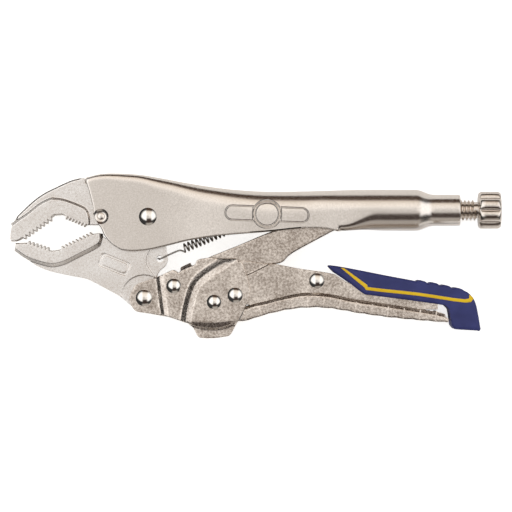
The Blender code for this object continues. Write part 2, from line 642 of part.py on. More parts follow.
STRIPE = bar([(99.6, -26.4), (111.9, -36.6), (114.6, -38.2), (140.0, -41.0), (164.3, -44.5), (168.4, -42.2)],
             [(101.6, -26.7), (113.3, -35.2), (115.2, -36.6), (140.0, -39.3), (163.6, -42.7), (166.2, -40.2)])


def make_grip():
    grip = prism("grip_sleeve", grip_outline(), -GRIP_HALF, GRIP_HALF)
    tunnel_top = shifted(RELEASE_BACK, 0.0, 0.4)
    tunnel = [(88.0, -27.8)] + tunnel_top[:-1] + [(150.4, -42.8), (150.4, -60.0), (88.0, -60.0)]
    tunnel_half = RELEASE_HALF + CLEARANCE
    grip = cut(grip, prism("tunnel", tunnel, -tunnel_half, tunnel_half))
    for a, b in ((GRIP_HALF - STRIPE_SEAT, FAR), (-FAR, -GRIP_HALF + STRIPE_SEAT)):
        grip = cut(grip, prism("groove", STRIPE, a, b))
    return place(grip, "release_lever", "navy_rubber")


def make_stripe(name, side):
    """The inlay, a little slimmer than its groove."""
    inset = 0.12
    run = len(STRIPE) // 2
    low, high = STRIPE[:run], list(reversed(STRIPE[run:]))
    slim_low = [tuple(Vector(a) + (Vector(b) - Vector(a)).normalized() * inset) for a, b in zip(low, high)]
    slim_high = [tuple(Vector(b) + (Vector(a) - Vector(b)).normalized() * inset) for a, b in zip(low, high)]
    outline = bar(slim_low, slim_high)
    seat = GRIP_HALF - STRIPE_SEAT + 0.1
    proud = GRIP_HALF + STRIPE_PROUD
    span = (seat, proud) if side > 0 else (-proud, -seat)
    return place(prism(name, outline, *span), "release_lever", "yellow_rubber")


def make_release_spring():
    radius, pitch, turns = 3.9, 1.5, 3.25
    loops = coil((*GRIP_RIVET, -pitch * turns / 2), (0, 0, 1), (0, 1, 0), radius, pitch, turns)
    first, last = Vector(loops[0]), Vector(loops[-1])
    arm_a = [tuple(first + Vector((9.0, -2.0, 0.0)))]
    arm_b = [tuple(last + Vector((0.6, -4.0, 0.0))), tuple(last + Vector((6.0, -9.4, 0.0)))]
    spring = wire("release_spring", arm_a + loops + arm_b, 1.1)
    return place(spring, "release_lever", "spring_wire", 60)


# ---------------------------------------------------------------- jaw spring
def make_jaw_spring():
    start, end = Vector((18.4, -16.5, 0.0)), Vector((46.8, -4.7, 0.0))
    axis = (end - start).normalized()
    across = Vector((-axis.y, axis.x, 0.0))
    turns = round((end - start).length / SPRING_PITCH)
    loops = coil(start, axis, -across, SPRING_RADIUS, (end - start).length / turns, turns, 6)
    hole = Vector((*SPRING_HOLE, 0.0))
    hook = [hole + Vector((-1.0, 0.3, -2.5)), hole + Vector((0.0, 0.0, 0.0)), hole + Vector((0.8, 0.4, 2.2)),
            start - axis * 2.4 + Vector((0, 0, 0.8))]
    anchor = Vector((*SPRING_ANCHOR, 0.0))
    eye = [end + axis * 1.0 + across * 1.6]
    eye += [anchor + Vector((x, y, 0.0)) for x, y in arc((0.0, 0.0), 2.4, 130, -100, 40)]
    points = [tuple(p) for p in hook] + loops + [tuple(p) for p in eye]
    return place(wire("jaw_spring", points, SPRING_WIRE), "fixed_handle", "spring_wire", 60)


# ---------------------------------------------------------------- adjusting screw and knob
def make_screw_tip():
    cup = [(0.0, 1.5), (2.8, 1.5), (2.8, 4.0), (5.0, 4.0), (5.0, 0.6), (4.2, 0.0), (0.0, 0.0)]
    pad = along_x(turned("screw_tip", cup), SCREW_TIP_X, SCREW_AXIS_Y)
    face_outwards(pad)
    return place(pad, "screw", "plated_steel")


def make_screw():
    """Spigot, shank with its ridged thread where it shows, and the plain end inside the knob."""
    profile = [(0.0, KNOB_START_X + 6.0), (3.4, KNOB_START_X + 6.0), (3.4, KNOB_START_X - 0.3)]
    z = KNOB_START_X - 0.4
    while z > NECK_END_X - 3.0:
        profile += [(THREAD_CREST, z - 0.3 * THREAD_PITCH), (THREAD_ROOT, z - 0.8 * THREAD_PITCH)]
        z -= THREAD_PITCH
    profile += [(THREAD_CREST - 0.3, z - 1.0), (THREAD_CREST - 0.3, SCREW_TIP_X + 4.9)]
    profile += [(THREAD_CREST - 0.9, SCREW_TIP_X + 4.3), (2.5, SCREW_TIP_X + 4.3), (2.5, SCREW_TIP_X + 1.8)]
    profile += [(0.0, SCREW_TIP_X + 1.8)]
    screw = along_x(turned("adjusting_screw", profile), 0.0, SCREW_AXIS_Y)
    face_outwards(screw)
    return place(screw, "screw", "plated_steel")


def make_knob():
    lobes = []
    for k in range(KNOB_LOBES * 5):
        a = 2 * math.pi * k / (KNOB_LOBES * 5)
        dip = max(0.0, math.cos(KNOB_LOBES * a)) ** 3
        lobes.append(((KNOB_RADIUS - 1.1 * dip) * math.cos(a), (KNOB_RADIUS - 1.1 * dip) * math.sin(a)))
    length = KNOB_END_X - KNOB_START_X
    knob = prism("adjusting_knob", lobes, 0.0, length)
    blank = [(0.0, length), (KNOB_RADIUS - 1.2, length), (KNOB_RADIUS + 0.1, length - 1.4),
             (KNOB_RADIUS + 0.1, 1.4), (KNOB_RADIUS - 0.9, 0.0), (0.0, 0.0)]
    knob = keep_inside(knob, turned("blank", blank, 24))
    knob = cut(knob, prism("bore", arc((0, 0), 3.7, 0, 360, 22.5)[:-1], -5.0, 6.3))
    corner = HEX_SOCKET_FLATS / math.sqrt(3)
    knob = cut(knob, prism("socket", arc((0, 0), corner, 0, 360, 60)[:-1], length - 4.0, length + 5.0))
    return place(along_x(knob, KNOB_START_X, SCREW_AXIS_Y), "screw", "plated_steel")


# ---------------------------------------------------------------- rivets and pins
def make_fasteners():
    rivet("jaw_pivot_rivet", JAW_PIVOT, CHEEK_HALF, 4.6, "fixed_handle", 2.2)
    rivet("lever_rivet", LEVER_PIVOT, EAR_HALF, 4.2, "main_lever")
    rivet("toggle_rivet", TOGGLE_PIVOT, MIDDLE_HALF, 3.8, "main_lever")
    rivet("stop_rivet", STOP_RIVET, WIDE_HALF, 3.7, "main_lever", shank=RIVET_SHANK - 0.2)
    rivet("release_pivot_rivet", RELEASE_PIVOT, WIDE_HALF, 3.9, "main_lever", shank=RIVET_SHANK - 0.2)
    rivet("release_cross_rivet", GRIP_RIVET, RELEASE_HALF, 3.9, "release_lever", 1.8, RIVET_SHANK - 0.6)
    pin = [(0.0, CHEEK_HALF - 0.4), (JAW_PIN_RADIUS - 0.4, CHEEK_HALF - 0.4),
           (JAW_PIN_RADIUS, CHEEK_HALF - 0.9)]
    pin += [(r, -z) for r, z in reversed(pin)]
    place(at(turned("jaw_retaining_pin", pin), *JAW_PIN), "fixed_handle", "plated_steel")
    reach = CHANNEL_HALF - HANDLE_SHEET + 0.7
    anchor = [(0.0, reach), (ANCHOR_RADIUS, reach), (ANCHOR_RADIUS, -reach), (0.0, -reach)]
    place(at(turned("spring_anchor_pin", anchor, 12), *SPRING_ANCHOR), "fixed_handle", "plated_steel")


make_fixed_handle()
make_fixed_jaw()
make_lower_jaw()
make_main_lever()
make_toggle_link()
make_release_lever()
make_grip()
make_stripe("grip_stripe_front", 1)
make_stripe("grip_stripe_back", -1)
make_release_spring()
make_jaw_spring()
make_screw_tip()
make_screw()
make_knob()
make_fasteners()
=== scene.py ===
"""Curved-jaw locking pliers: the finished look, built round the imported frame.

Shapes are drawn in the tool's own plane in millimetres, as a maker would: x from the jaws to the knob,
y across the handles, z the thickness, zero at mid thickness, with the jaw pivot as origin. The last step
of each piece moves it to its place in metres.
"""

import json
import math

import bmesh
import bpy
from mathutils import Matrix, Vector


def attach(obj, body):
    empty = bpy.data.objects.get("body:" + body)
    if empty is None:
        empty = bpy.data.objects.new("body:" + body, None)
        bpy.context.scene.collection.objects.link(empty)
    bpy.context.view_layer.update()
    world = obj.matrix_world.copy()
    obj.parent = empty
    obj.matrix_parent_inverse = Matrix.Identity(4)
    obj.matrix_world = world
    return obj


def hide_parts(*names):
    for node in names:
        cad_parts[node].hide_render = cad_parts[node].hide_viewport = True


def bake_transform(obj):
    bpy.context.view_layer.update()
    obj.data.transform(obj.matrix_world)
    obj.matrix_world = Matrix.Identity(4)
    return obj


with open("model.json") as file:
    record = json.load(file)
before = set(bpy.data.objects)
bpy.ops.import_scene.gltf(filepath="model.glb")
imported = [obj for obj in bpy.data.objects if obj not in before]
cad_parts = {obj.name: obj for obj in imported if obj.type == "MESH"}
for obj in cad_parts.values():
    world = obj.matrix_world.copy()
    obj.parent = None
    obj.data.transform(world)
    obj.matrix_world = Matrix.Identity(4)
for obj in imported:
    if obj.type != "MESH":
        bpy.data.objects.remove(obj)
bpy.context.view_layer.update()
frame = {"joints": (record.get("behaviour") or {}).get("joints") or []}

MM = 0.001
JOINTS = {joint["name"]: joint for joint in frame["joints"]}
ORIGIN = Vector(JOINTS["jaw_hinge"]["pos_m"])      # the jaw pivot, at mid thickness


# ---- sizes, mm
JAW_PIVOT = (0, 0)
LEVER_PIVOT = (-2.1, -42.1)
TOGGLE_PIVOT = (13.4, -35.9)
STOP_RIVET = (34.3, -44.1)
RELEASE_PIVOT = (45.2, -40.6)
GRIP_RIVET = (87.4, -33.2)
JAW_PIN = (-24.3, 0.1)
SPRING_HOLE = (6, -22)
SPRING_ANCHOR = (50.7, -3.2)
SCREW_Y = 3.4
RECESS_CENTRE = (-17.5, -24.7)
RECESS_SIZE = (16.4, 7.4)
RECESS_TURN = -22.0
RECESS_GROOVE = 1.3

JAW_HALF = 4.8
TOOTH_BAND_HALF = 6.0
JAW_TAIL_HALF = 3.9
LUG_HALF = 1.4
CHEEK_HALF = 7.5
CHANNEL_HALF = 9.3
TUBE_RADIUS = 10.7
NECK_RADIUS = 8.1
HANDLE_SHEET = 2.4
SHEET = 2.1
EAR_HALF = 6.3
MIDDLE_HALF = 8.6
WIDE_HALF = 12.2
REAR_HALF = 11.6
STOP_HALF = 8.4
RELEASE_HALF = 9.2
LINK_HALF = 5.5
LINK_END_HALF = 2.8
PLATE = 2.0
GRIP_HALF = 11.3
NECK_START = 148.3
NECK_END = 162.1
KNOB_START = 171.6
KNOB_LOBES = 8
THREAD_ROOT = 4.3
THREAD_CREST = 5.62
THREAD_WIRE = 1.6
THREAD_PRESS = 0.6                   # how far the thread's flanks are squeezed along the screw
THREAD_PITCH = 2.0
SCREW_TIP = 114.0
FAR = 30.0


# ---- helpers
def add_node(tree, kind, inputs=None, **settings):
    """A node with its settings; an input is a value, a socket or a node, whose first output feeds it."""
    made = tree.nodes.new(kind)
    for name, value in settings.items():
        setattr(made, name, value)
    for socket, value in (inputs or {}).items():
        if isinstance(value, bpy.types.Node):
            value = value.outputs[0]
        if isinstance(value, bpy.types.NodeSocket):
            tree.links.new(value, made.inputs[socket])
        else:
            made.inputs[socket].default_value = value
    return made


def linear(code):
    """An sRGB hex colour as linear red, green, blue and alpha."""
    channels = [int(code[i:i + 2], 16) / 255 for i in (1, 3, 5)]
    return (*[c / 12.92 if c <= 0.04045 else ((c + 0.055) / 1.055) ** 2.4 for c in channels], 1.0)


def add(name, mesh):
    obj = bpy.data.objects.new(name, mesh)
    bpy.context.scene.collection.objects.link(obj)
    return obj


def from_form(name, form):
    mesh = bpy.data.meshes.new(name)
    form.to_mesh(mesh)
    form.free()
    return add(name, mesh)


def bake(obj, weld=1e-4):
    """The object with its modifiers as a plain welded mesh, its faces outwards."""
    bpy.context.view_layer.update()
    evaluated = obj.evaluated_get(bpy.context.evaluated_depsgraph_get())
    mesh = bpy.data.meshes.new_from_object(evaluated)
    mesh.transform(obj.matrix_world)
    name = obj.name
    bpy.data.objects.remove(obj)
    form = bmesh.new()
    form.from_mesh(mesh)
    bmesh.ops.remove_doubles(form, verts=form.verts, dist=weld)
    bmesh.ops.recalc_face_normals(form, faces=form.faces)
    form.to_mesh(mesh)
    form.free()
    return add(name, mesh)


def together(name, pieces):
    """Several pieces as one mesh, each still its own closed shell."""
    form = bmesh.new()
    for piece in pieces:
        form.from_mesh(piece.data)
        bpy.data.objects.remove(piece)
    return from_form(name, form)


def boolean(target, other, operation, solver="EXACT"):
    modifier = target.modifiers.new(operation, "BOOLEAN")
    modifier.operation = operation
    modifier.solver = solver
    modifier.object = other
    result = bake(target)
    bpy.data.objects.remove(other)
    return result


def cut(target, cutter, solver="EXACT"):
    return boolean(target, cutter, "DIFFERENCE", solver)


def bevelled(obj, width, segments=2, angle=40):
    modifier = obj.modifiers.new("edge", "BEVEL")
    modifier.width = width
    modifier.segments = segments
    modifier.limit_method = "ANGLE"
    modifier.angle_limit = math.radians(angle)
    modifier.use_clamp_overlap = False
    return bake(obj)


def softened(obj, voxel, rounds=4, keep=0.5):
    """Fuse overlapping shells into one skin with worn, plated edges and filleted corners."""
    remesh = obj.modifiers.new("fuse", "REMESH")
    remesh.mode = "VOXEL"
    remesh.voxel_size = voxel
    smooth = obj.modifiers.new("wear", "SMOOTH")
    smooth.factor = 0.5
    smooth.iterations = rounds
    thin = obj.modifiers.new("thin", "DECIMATE")
    thin.ratio = keep
    return bake(obj)


def to_world(point):
    return ORIGIN + Vector(point) * MM


def settle(obj, material, smooth_angle=35):
    """Move a finished piece to its place in metres and give it its material."""
    obj.data.transform(Matrix.Translation(ORIGIN) @ Matrix.Scale(MM, 4))
    obj.data.materials.clear()
    obj.data.materials.append(material)
    obj.data.shade_smooth()
    obj.data.set_sharp_from_angle(angle=math.radians(smooth_angle))


def finish(obj, body, material, node_names=(), smooth_angle=35):
    """Settle a piece and hang it on its body, in place of its plain solids."""
    settle(obj, material, smooth_angle)
    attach(obj, body)
    if node_names:
        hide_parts(*node_names)
    return obj


def arc(centre, radius, start, end, step=6.0):
    count = max(1, math.ceil(abs(end - start) / step))
    angles = [math.radians(start + (end - start) * i / count) for i in range(count + 1)]
    return [(centre[0] + radius * math.cos(a), centre[1] + radius * math.sin(a)) for a in angles]


def circle(centre, radius, step=10.0):
    return arc(centre, radius, 0, 360, step)[:-1]


def rounded(points, step=8.0):
    """A closed outline; a corner given as (x, y, r) is rounded to radius r."""
    outline = []
    for i, point in enumerate(points):
        if len(point) == 2:
            outline.append(point)
            continue
        corner = Vector(point[:2])
        before = Vector(points[i - 1][:2]) - corner
        after = Vector(points[(i + 1) % len(points)][:2]) - corner
        half = before.angle(after) / 2
        back = min(point[2] / math.tan(half), 0.49 * before.length, 0.49 * after.length)
        radius = back * math.tan(half)
        middle = (before.normalized() + after.normalized()).normalized()
        centre = corner + middle * (radius / math.sin(half))
        first = corner + before.normalized() * back - centre
        turn = first.angle_signed(corner + after.normalized() * back - centre)
        count = max(1, math.ceil(abs(math.degrees(turn)) / step))
        for k in range(count + 1):
            outline.append(tuple(centre + Matrix.Rotation(-turn * k / count, 2) @ first))
    return outline


def smooth_path(points, per_span=6):
    """A Catmull-Rom curve through a few points, ends included."""
    ends = [Vector(points[0]) * 2 - Vector(points[1])]
    ends += [Vector(p) for p in points]
    ends += [Vector(points[-1]) * 2 - Vector(points[-2])]
    path = []
    for a, b, c, d in zip(ends, ends[1:], ends[2:], ends[3:]):
        for k in range(per_span):
            t = k / per_span
            path.append(tuple(0.5 *
                (2 * b + (c - a) * t + (2 * a - 5 * b + 4 * c - d) * t * t + (3 * b - a - 3 * c + d) * t ** 3)))
    return path + [tuple(points[-1])]


def between(x, table):
    """Smooth-stepped value at x from a table of (x, value)."""
    if x <= table[0][0]:
        return table[0][1]
    for (x0, v0), (x1, v1) in zip(table, table[1:]):
        if x <= x1:
            t = (x - x0) / (x1 - x0)
            return v0 + (v1 - v0) * t * t * (3 - 2 * t)
    return table[-1][1]


def along(x, path):
    """Straight-line value at x from a rising row of points."""
    if x <= path[0][0]:
        return path[0][1]
    for (x0, y0), (x1, y1) in zip(path, path[1:]):
        if x <= x1:
            return y0 + (y1 - y0) * (x - x0) / max(x1 - x0, 1e-9)
    return path[-1][1]


def resampled(points, count):
    """The same run of points with count + 1 even stations."""
    points = [Vector(p) for p in points]
    lengths = [0.0]
    for a, b in zip(points, points[1:]):
        lengths.append(lengths[-1] + (b - a).length)
    total = lengths[-1]
    out = []
    k = 0
    for i in range(count + 1):
        want = total * i / count
        while k < len(points) - 2 and lengths[k + 1] < want:
            k += 1
        span = lengths[k + 1] - lengths[k]
        t = 0.0 if span < 1e-9 else min(1.0, (want - lengths[k]) / span)
        out.append(points[k].lerp(points[k + 1], t))
    return out


def shifted(points, dx, dy):
    return [(x + dx, y + dy) for x, y in points]


def bar(low, high):
    return list(low) + list(reversed(high))


def offset_run(points, distance):
    """An open run moved sideways, to its left for a positive distance."""
    points = [Vector(p) for p in points]
    moved = []
    for i, point in enumerate(points):
        before = points[max(i - 1, 0)]
        after = points[min(i + 1, len(points) - 1)]
        direction = (after - before).normalized()
        moved.append(tuple(point + Vector((-direction.y, direction.x)) * distance))
    return moved


def loft(name, rings, capped=True):
    """A skin over rings of points; it ends in caps or in single points, or else runs round to its start."""
    form = bmesh.new()
    rings = [[form.verts.new(point) for point in ring] for ring in rings]
    steps = max(len(ring) for ring in rings)
    for a, b in zip(rings, rings[1:] + ([] if capped else rings[:1])):
        for k in range(steps):
            j = (k + 1) % steps
            corners = [a[k % len(a)], a[j % len(a)], b[j % len(b)], b[k % len(b)]]
            kept = list(dict.fromkeys(corners))
            if len(kept) > 2:
                form.faces.new(kept)
    for ring in (rings[0], rings[-1]):
        if capped and len(ring) > 2:
            form.faces.new(ring)
    bmesh.ops.recalc_face_normals(form, faces=form.faces)
    return from_form(name, form)


def slab(name, low, high, z_low, z_high):
    """A solid between two outlines of the same count at two heights."""
    return loft(name, [[(x, y, z_low) for x, y in low], [(x, y, z_high) for x, y in high]])


def prism(name, outline, z_low, z_high):
    return slab(name, outline, outline, z_low, z_high)


def slab_pair(low, high, z_low, z_high):
    return [slab("side", low, high, z_low, z_high), slab("side", high, low, -z_high, -z_low)]


def both_sides(outline, z_low, z_high):
    return slab_pair(outline, outline, z_low, z_high)


def through(outline, half):
    """A plate of this half width at mid thickness."""
    return prism("plate", outline, -half, half)


def step_plates(left, right, half_left, half_right, sheet):
    """The sloping sheet of a joggle between two runs, on both sides of the tool."""
    count = 16
    left = resampled(left, count)
    right = resampled(right, count)
    plates = []
    for side in (1, -1):
        rows = []
        for a, b in zip(left, right):
            corners = ((a, half_left), (b, half_right), (b, half_right - sheet), (a, half_left - sheet))
            rows.append([(p.x, p.y, side * z) for p, z in corners])
        plates.append(loft("step", rows))
    return plates


def revolved(name, profile, steps=64):
    """A solid turned about +x from a profile of (x, radius) that starts and ends on the axis."""
    angles = [2 * math.pi * k / steps for k in range(steps)]
    return loft(name, [[(x, r * math.cos(a), r * math.sin(a)) for a in (angles if r else angles[:1])] for x,
        r in profile])


def placed(obj, x=0.0, y=0.0, z=0.0):
    obj.data.transform(Matrix.Translation((x, y, z)))
    return obj


def pinned(obj, centre, side=-1):
    """A turned piece stood through the tool's thickness at a centre."""
    obj.data.transform(Matrix.Translation((*centre, 0.0)) @ Matrix.Rotation(-side * math.pi / 2, 4, "Y"))
    return obj


def wire(name, points, diameter, resolution=3):
    """A bent round wire through 3-D points."""
    curve = bpy.data.curves.new(name, "CURVE")
    curve.dimensions = "3D"
    curve.bevel_depth = diameter / 2
    curve.bevel_resolution = resolution
    curve.use_fill_caps = True
    spline = curve.splines.new("POLY")
    spline.points.add(len(points) - 1)
    for point, co in zip(spline.points, points):
        point.co = (*co, 1.0)
    return bake(add(name, curve))


# ---- rule-made parts
def rule_tree(name, floats, whole=""):
    """An empty geometry tree with a Geometry input, the named sizes and counts, and a Material."""
    tree = bpy.data.node_groups.new(name, "GeometryNodeTree")
    tree.interface.new_socket("Geometry", in_out="INPUT", socket_type="NodeSocketGeometry")
    for labels, kind in ((floats, "NodeSocketFloat"), (whole, "NodeSocketInt")):
        for label in labels.split():
            tree.interface.new_socket(label, in_out="INPUT", socket_type=kind)
    tree.interface.new_socket("Material", in_out="INPUT", socket_type="NodeSocketMaterial")
    tree.interface.new_socket("Geometry", in_out="OUTPUT", socket_type="NodeSocketGeometry")
    return tree, add_node(tree, "NodeGroupInput"), add_node(tree, "NodeGroupOutput")


def close_tree(tree, source, given, output):
    real = add_node(tree, "GeometryNodeRealizeInstances", {"Geometry": source})
    paint = add_node(tree, "GeometryNodeSetMaterial", {"Geometry": real, "Material": given.outputs["Material"]})
    tree.links.new(paint.outputs[0], output.inputs[0])


def run_rule(obj, tree, material, values):
    """The plain mesh that a tree makes from obj with this material and these input values."""
    modifier = obj.modifiers.new("rule", "NODES")
    modifier.node_group = tree
    sockets = {item.name: item.identifier for item in tree.interface.items_tree if item.in_out == "INPUT"}
    modifier[sockets["Material"]] = material
    for label, value in values.items():
        modifier[sockets[label]] = value
    return bake(obj)


def coil_tree():
    """A wire wound into a helix up the z axis."""
    tree, given, output = rule_tree("coil", "Radius Pitch Turns Wire", "Sides")
    rise = add_node(tree, "ShaderNodeMath", {0: given.outputs["Pitch"], 1: given.outputs["Turns"]},
        operation="MULTIPLY")
    spiral = add_node(tree, "GeometryNodeCurveSpiral",
        {"Resolution": 28, "Rotations": given.outputs["Turns"], "Start Radius": given.outputs["Radius"],
        "End Radius": given.outputs["Radius"], "Height": rise})
    upright = add_node(tree, "GeometryNodeSetCurveNormal", {"Curve": spiral}, mode="Z_UP")
    ring = add_node(tree, "GeometryNodeCurvePrimitiveCircle",
        {"Resolution": given.outputs["Sides"], "Radius": given.outputs["Wire"]})
    skin = add_node(tree, "GeometryNodeCurveToMesh", {"Curve": upright, "Profile Curve": ring,
        "Fill Caps": True})
    close_tree(tree, skin, given, output)
    return tree


def rivet_tree():
    """A domed head on each point, sized by the point's own radius and height and turned by its side."""
    tree, given, output = rule_tree("rivet_heads", "", "Sides")
    blank = add_node(tree, "GeometryNodeMeshCylinder",
        {"Vertices": given.outputs["Sides"], "Side Segments": 2, "Fill Segments": 12, "Radius": 1.0,
        "Depth": 0.5})
    place = add_node(tree, "GeometryNodeInputPosition")
    parts = add_node(tree, "ShaderNodeSeparateXYZ", {0: place})
    flat = add_node(tree, "ShaderNodeCombineXYZ", {"X": parts.outputs["X"], "Y": parts.outputs["Y"]})
    reach = add_node(tree, "ShaderNodeVectorMath", {0: flat, 1: flat}, operation="DOT_PRODUCT")
    rise = add_node(tree, "ShaderNodeMath", {0: 1.0, 1: reach.outputs["Value"]}, operation="SUBTRACT")
    upper = add_node(tree, "FunctionNodeCompare", {0: parts.outputs["Z"], 1: 0.2}, data_type="FLOAT",
        operation="GREATER_THAN")
    lift = add_node(tree, "ShaderNodeCombineXYZ", {"Z": rise})
    domed = add_node(tree, "GeometryNodeSetPosition",
        {"Geometry": blank.outputs["Mesh"], "Selection": upper, "Offset": lift})
    size = add_node(tree, "GeometryNodeInputNamedAttribute", {"Name": "head_size"}, data_type="FLOAT_VECTOR")
    turn = add_node(tree, "GeometryNodeInputNamedAttribute", {"Name": "head_turn"}, data_type="FLOAT_VECTOR")
    heads = add_node(tree, "GeometryNodeInstanceOnPoints",
        {"Points": given.outputs["Geometry"], "Instance": domed, "Rotation": turn, "Scale": size})
    close_tree(tree, heads, given, output)
    return tree


def rib_tree():
    """Thin raised ribs at an even spacing along a run, each standing square to it."""
    tree, given, output = rule_tree("ribs", "Spacing Width Height Length")
    curve = add_node(tree, "GeometryNodeMeshToCurve", {"Mesh": given.outputs["Geometry"]})
    even = add_node(tree, "GeometryNodeResampleCurve", {"Curve": curve, "Length": given.outputs["Spacing"]},
        mode="LENGTH")
    size = add_node(tree, "ShaderNodeCombineXYZ", {"X": given.outputs["Width"], "Y": given.outputs["Height"],
        "Z": given.outputs["Length"]})
    rib = add_node(tree, "GeometryNodeMeshCube", {"Size": size})
    tangent = add_node(tree, "GeometryNodeInputTangent")
    turn = add_node(tree, "FunctionNodeAlignRotationToVector", {"Vector": tangent}, axis="X", pivot_axis="Z")
    ribs = add_node(tree, "GeometryNodeInstanceOnPoints", {"Points": even, "Instance": rib, "Rotation": turn})
    close_tree(tree, ribs, given, output)
    return tree


# ---- materials
def shader_of(name):
    material = bpy.data.materials.new(name)
    material.use_nodes = True
    tree = material.node_tree
    return material, tree, tree.nodes["Principled BSDF"]


def surface(tree, shader, spread, light, dark, gloss, grain, depth_mm):
    """A colour between dark and light, a gloss and a grain of real depth, on the shader's sockets."""
    colour = add_node(tree, "ShaderNodeMix", {"Factor": spread, "A": linear(dark), "B": linear(light)},
        data_type="RGBA")
    bump = add_node(tree, "ShaderNodeBump", {"Height": grain, "Strength": 1.0, "Distance": depth_mm * MM})
    tree.links.new(colour.outputs["Result"], shader.inputs["Base Color"])
    tree.links.new(gloss.outputs[0], shader.inputs["Roughness"])
    tree.links.new(bump.outputs[0], shader.inputs["Normal"])


def plated_metal(name, light, dark, roughness, grain_mm, grain_depth_mm, roughness_swing=0.12):
    """Nickel over steel: a grain that breaks up the reflections and a slow cloud from the plating bath."""
    material, tree, shader = shader_of(name)
    place = add_node(tree, "ShaderNodeTexCoord").outputs["Object"]
    grain = add_node(tree, "ShaderNodeTexNoise", {"Vector": place, "Scale": 1 / (grain_mm * MM), "Detail": 2.0,
        "Roughness": 0.6})
    cloud = add_node(tree, "ShaderNodeTexNoise", {"Vector": place, "Scale": 1 / (14 * MM), "Detail": 1.0})
    blend = add_node(tree, "ShaderNodeMath", {0: grain, 1: 0.7}, operation="MULTIPLY")
    both = add_node(tree, "ShaderNodeMath", {0: cloud, 1: 0.3, 2: blend}, operation="MULTIPLY_ADD")
    spread = add_node(tree, "ShaderNodeMapRange", {"Value": both, "From Min": 0.34, "From Max": 0.66})
    gloss = add_node(tree, "ShaderNodeMapRange", {"Value": grain, "From Min": 0.3, "From Max": 0.7,
        "To Min": roughness, "To Max": roughness + roughness_swing})
    surface(tree, shader, spread, light, dark, gloss, grain, grain_depth_mm)
    shader.inputs["Metallic"].default_value = 1.0
    return material


def moulded_rubber(name, light, dark, roughness, grain_mm=0.7, grain_depth_mm=0.02):
    """Injection-moulded soft plastic: a fine spark-eroded texture and a faint mottle."""
    material, tree, shader = shader_of(name)
    place = add_node(tree, "ShaderNodeTexCoord").outputs["Object"]
    grain = add_node(tree, "ShaderNodeTexNoise", {"Vector": place, "Scale": 1 / (grain_mm * MM), "Detail": 2.0})
    mottle = add_node(tree, "ShaderNodeTexNoise", {"Vector": place, "Scale": 1 / (9 * MM), "Detail": 2.0})
    spread = add_node(tree, "ShaderNodeMapRange", {"Value": mottle, "From Min": 0.3, "From Max": 0.7})
    gloss = add_node(tree, "ShaderNodeMapRange", {"Value": grain, "To Min": roughness - 0.08,
        "To Max": roughness + 0.08})
    surface(tree, shader, spread, light, dark, gloss, grain, grain_depth_mm)
    shader.inputs["Specular IOR Level"].default_value = 0.35
    return material


# Nickel plate over bead-blasted forgings and sheet: a satin skin with a sparkle of small pits.
BLASTED = plated_metal("bead_blasted_nickel", "#F6ECE2", "#A2958A", 0.20, 1.0, 0.065)
# The same plate over the fine-blasted jaws: paler and smoother.
FINE = plated_metal("fine_blasted_nickel", "#FCF9F6", "#E2DAD3", 0.20, 0.8, 0.016)
# Nickel plate over smooth rolled sheet: soft long reflections with hardly any grain.
SATIN = plated_metal("satin_nickel_plate", "#F0E9E2", "#E2DAD2", 0.17, 0.8, 0.007, 0.08)
# Cold-headed rivets tumbled bright before plating: near-mirror domes.
BRIGHT = plated_metal("bright_nickel_rivet", "#F2EEE8", "#E8E2DA", 0.07, 1.5, 0.002, 0.04)
# Turned and knurled steel with a thin nickel flash: crisp, a little darker.
TURNED = plated_metal("turned_nickel_steel", "#EAE2DA", "#D5CBC2", 0.16, 0.8, 0.003, 0.06)
# Oil-tempered spring wire: dark and fairly shiny.
SPRING = plated_metal("oiled_spring_steel", "#B9B3AB", "#8E8780", 0.18, 0.8, 0.003)
# Soft thermoplastic rubber over the release lever, moulded in navy.
NAVY = moulded_rubber("navy_soft_grip", "#3C4280", "#31366E", 0.55)
# The same rubber in yellow, moulded into a channel in the navy.
YELLOW = moulded_rubber("yellow_soft_inlay", "#FFD522", "#F2C41A", 0.5)


# ---- fixed handle
HANDLE_TOP = smooth_path([(-38, 19), (-32, 20.3), (-25, 22), (-17, 22.4), (-5, 21.8), (6, 20.1), (20, 17.5),
    (40, 14.5), (60, 13.1), (80, 13.2), (100, 13.8), (112, 14.1), (140, 14.1)], 8)
FRONT_EDGE = smooth_path([(-14.7, -16.8), (-18.5, -14.4), (-22.4, -10), (-24.2, -6), (-26.6, -2.6), (-28.3, 1),
    (-28.6, 5), (-30.3, 12.3), (-31.9, 17.5), (-32.4, 20.4)], 8)
LOW_EDGE = smooth_path([(-14.7, -16.8), (-12.1, -17.6), (-6.9, -17.9), (0.9, -17.1), (11.3, -14.7),
    (21.7, -12.2), (37.3, -9.8), (63.3, -7.7), (78.9, -6.1), (90, -6), (98, -7.3), (104, -7.6)], 8)
LOW_ROWS = 30
BEND_ROWS = 14
TOP_ROWS = 8


def bend_curve(ease, rows, steps=24):
    """A fold whose turn eases in from the wall, as (height, depth) points scaled to a depth of one."""
    height, depth, points = 0.0, 0.0, [(0, 0)]
    for k in range(rows):
        for i in range(steps):
            tilt = math.pi / 2 * ((k + (i + 0.5) / steps) / rows) ** ease
            height += math.cos(tilt)
            depth += math.sin(tilt)
        points.append((height, depth))
    return [(h / depth, d / depth) for h, d in points]


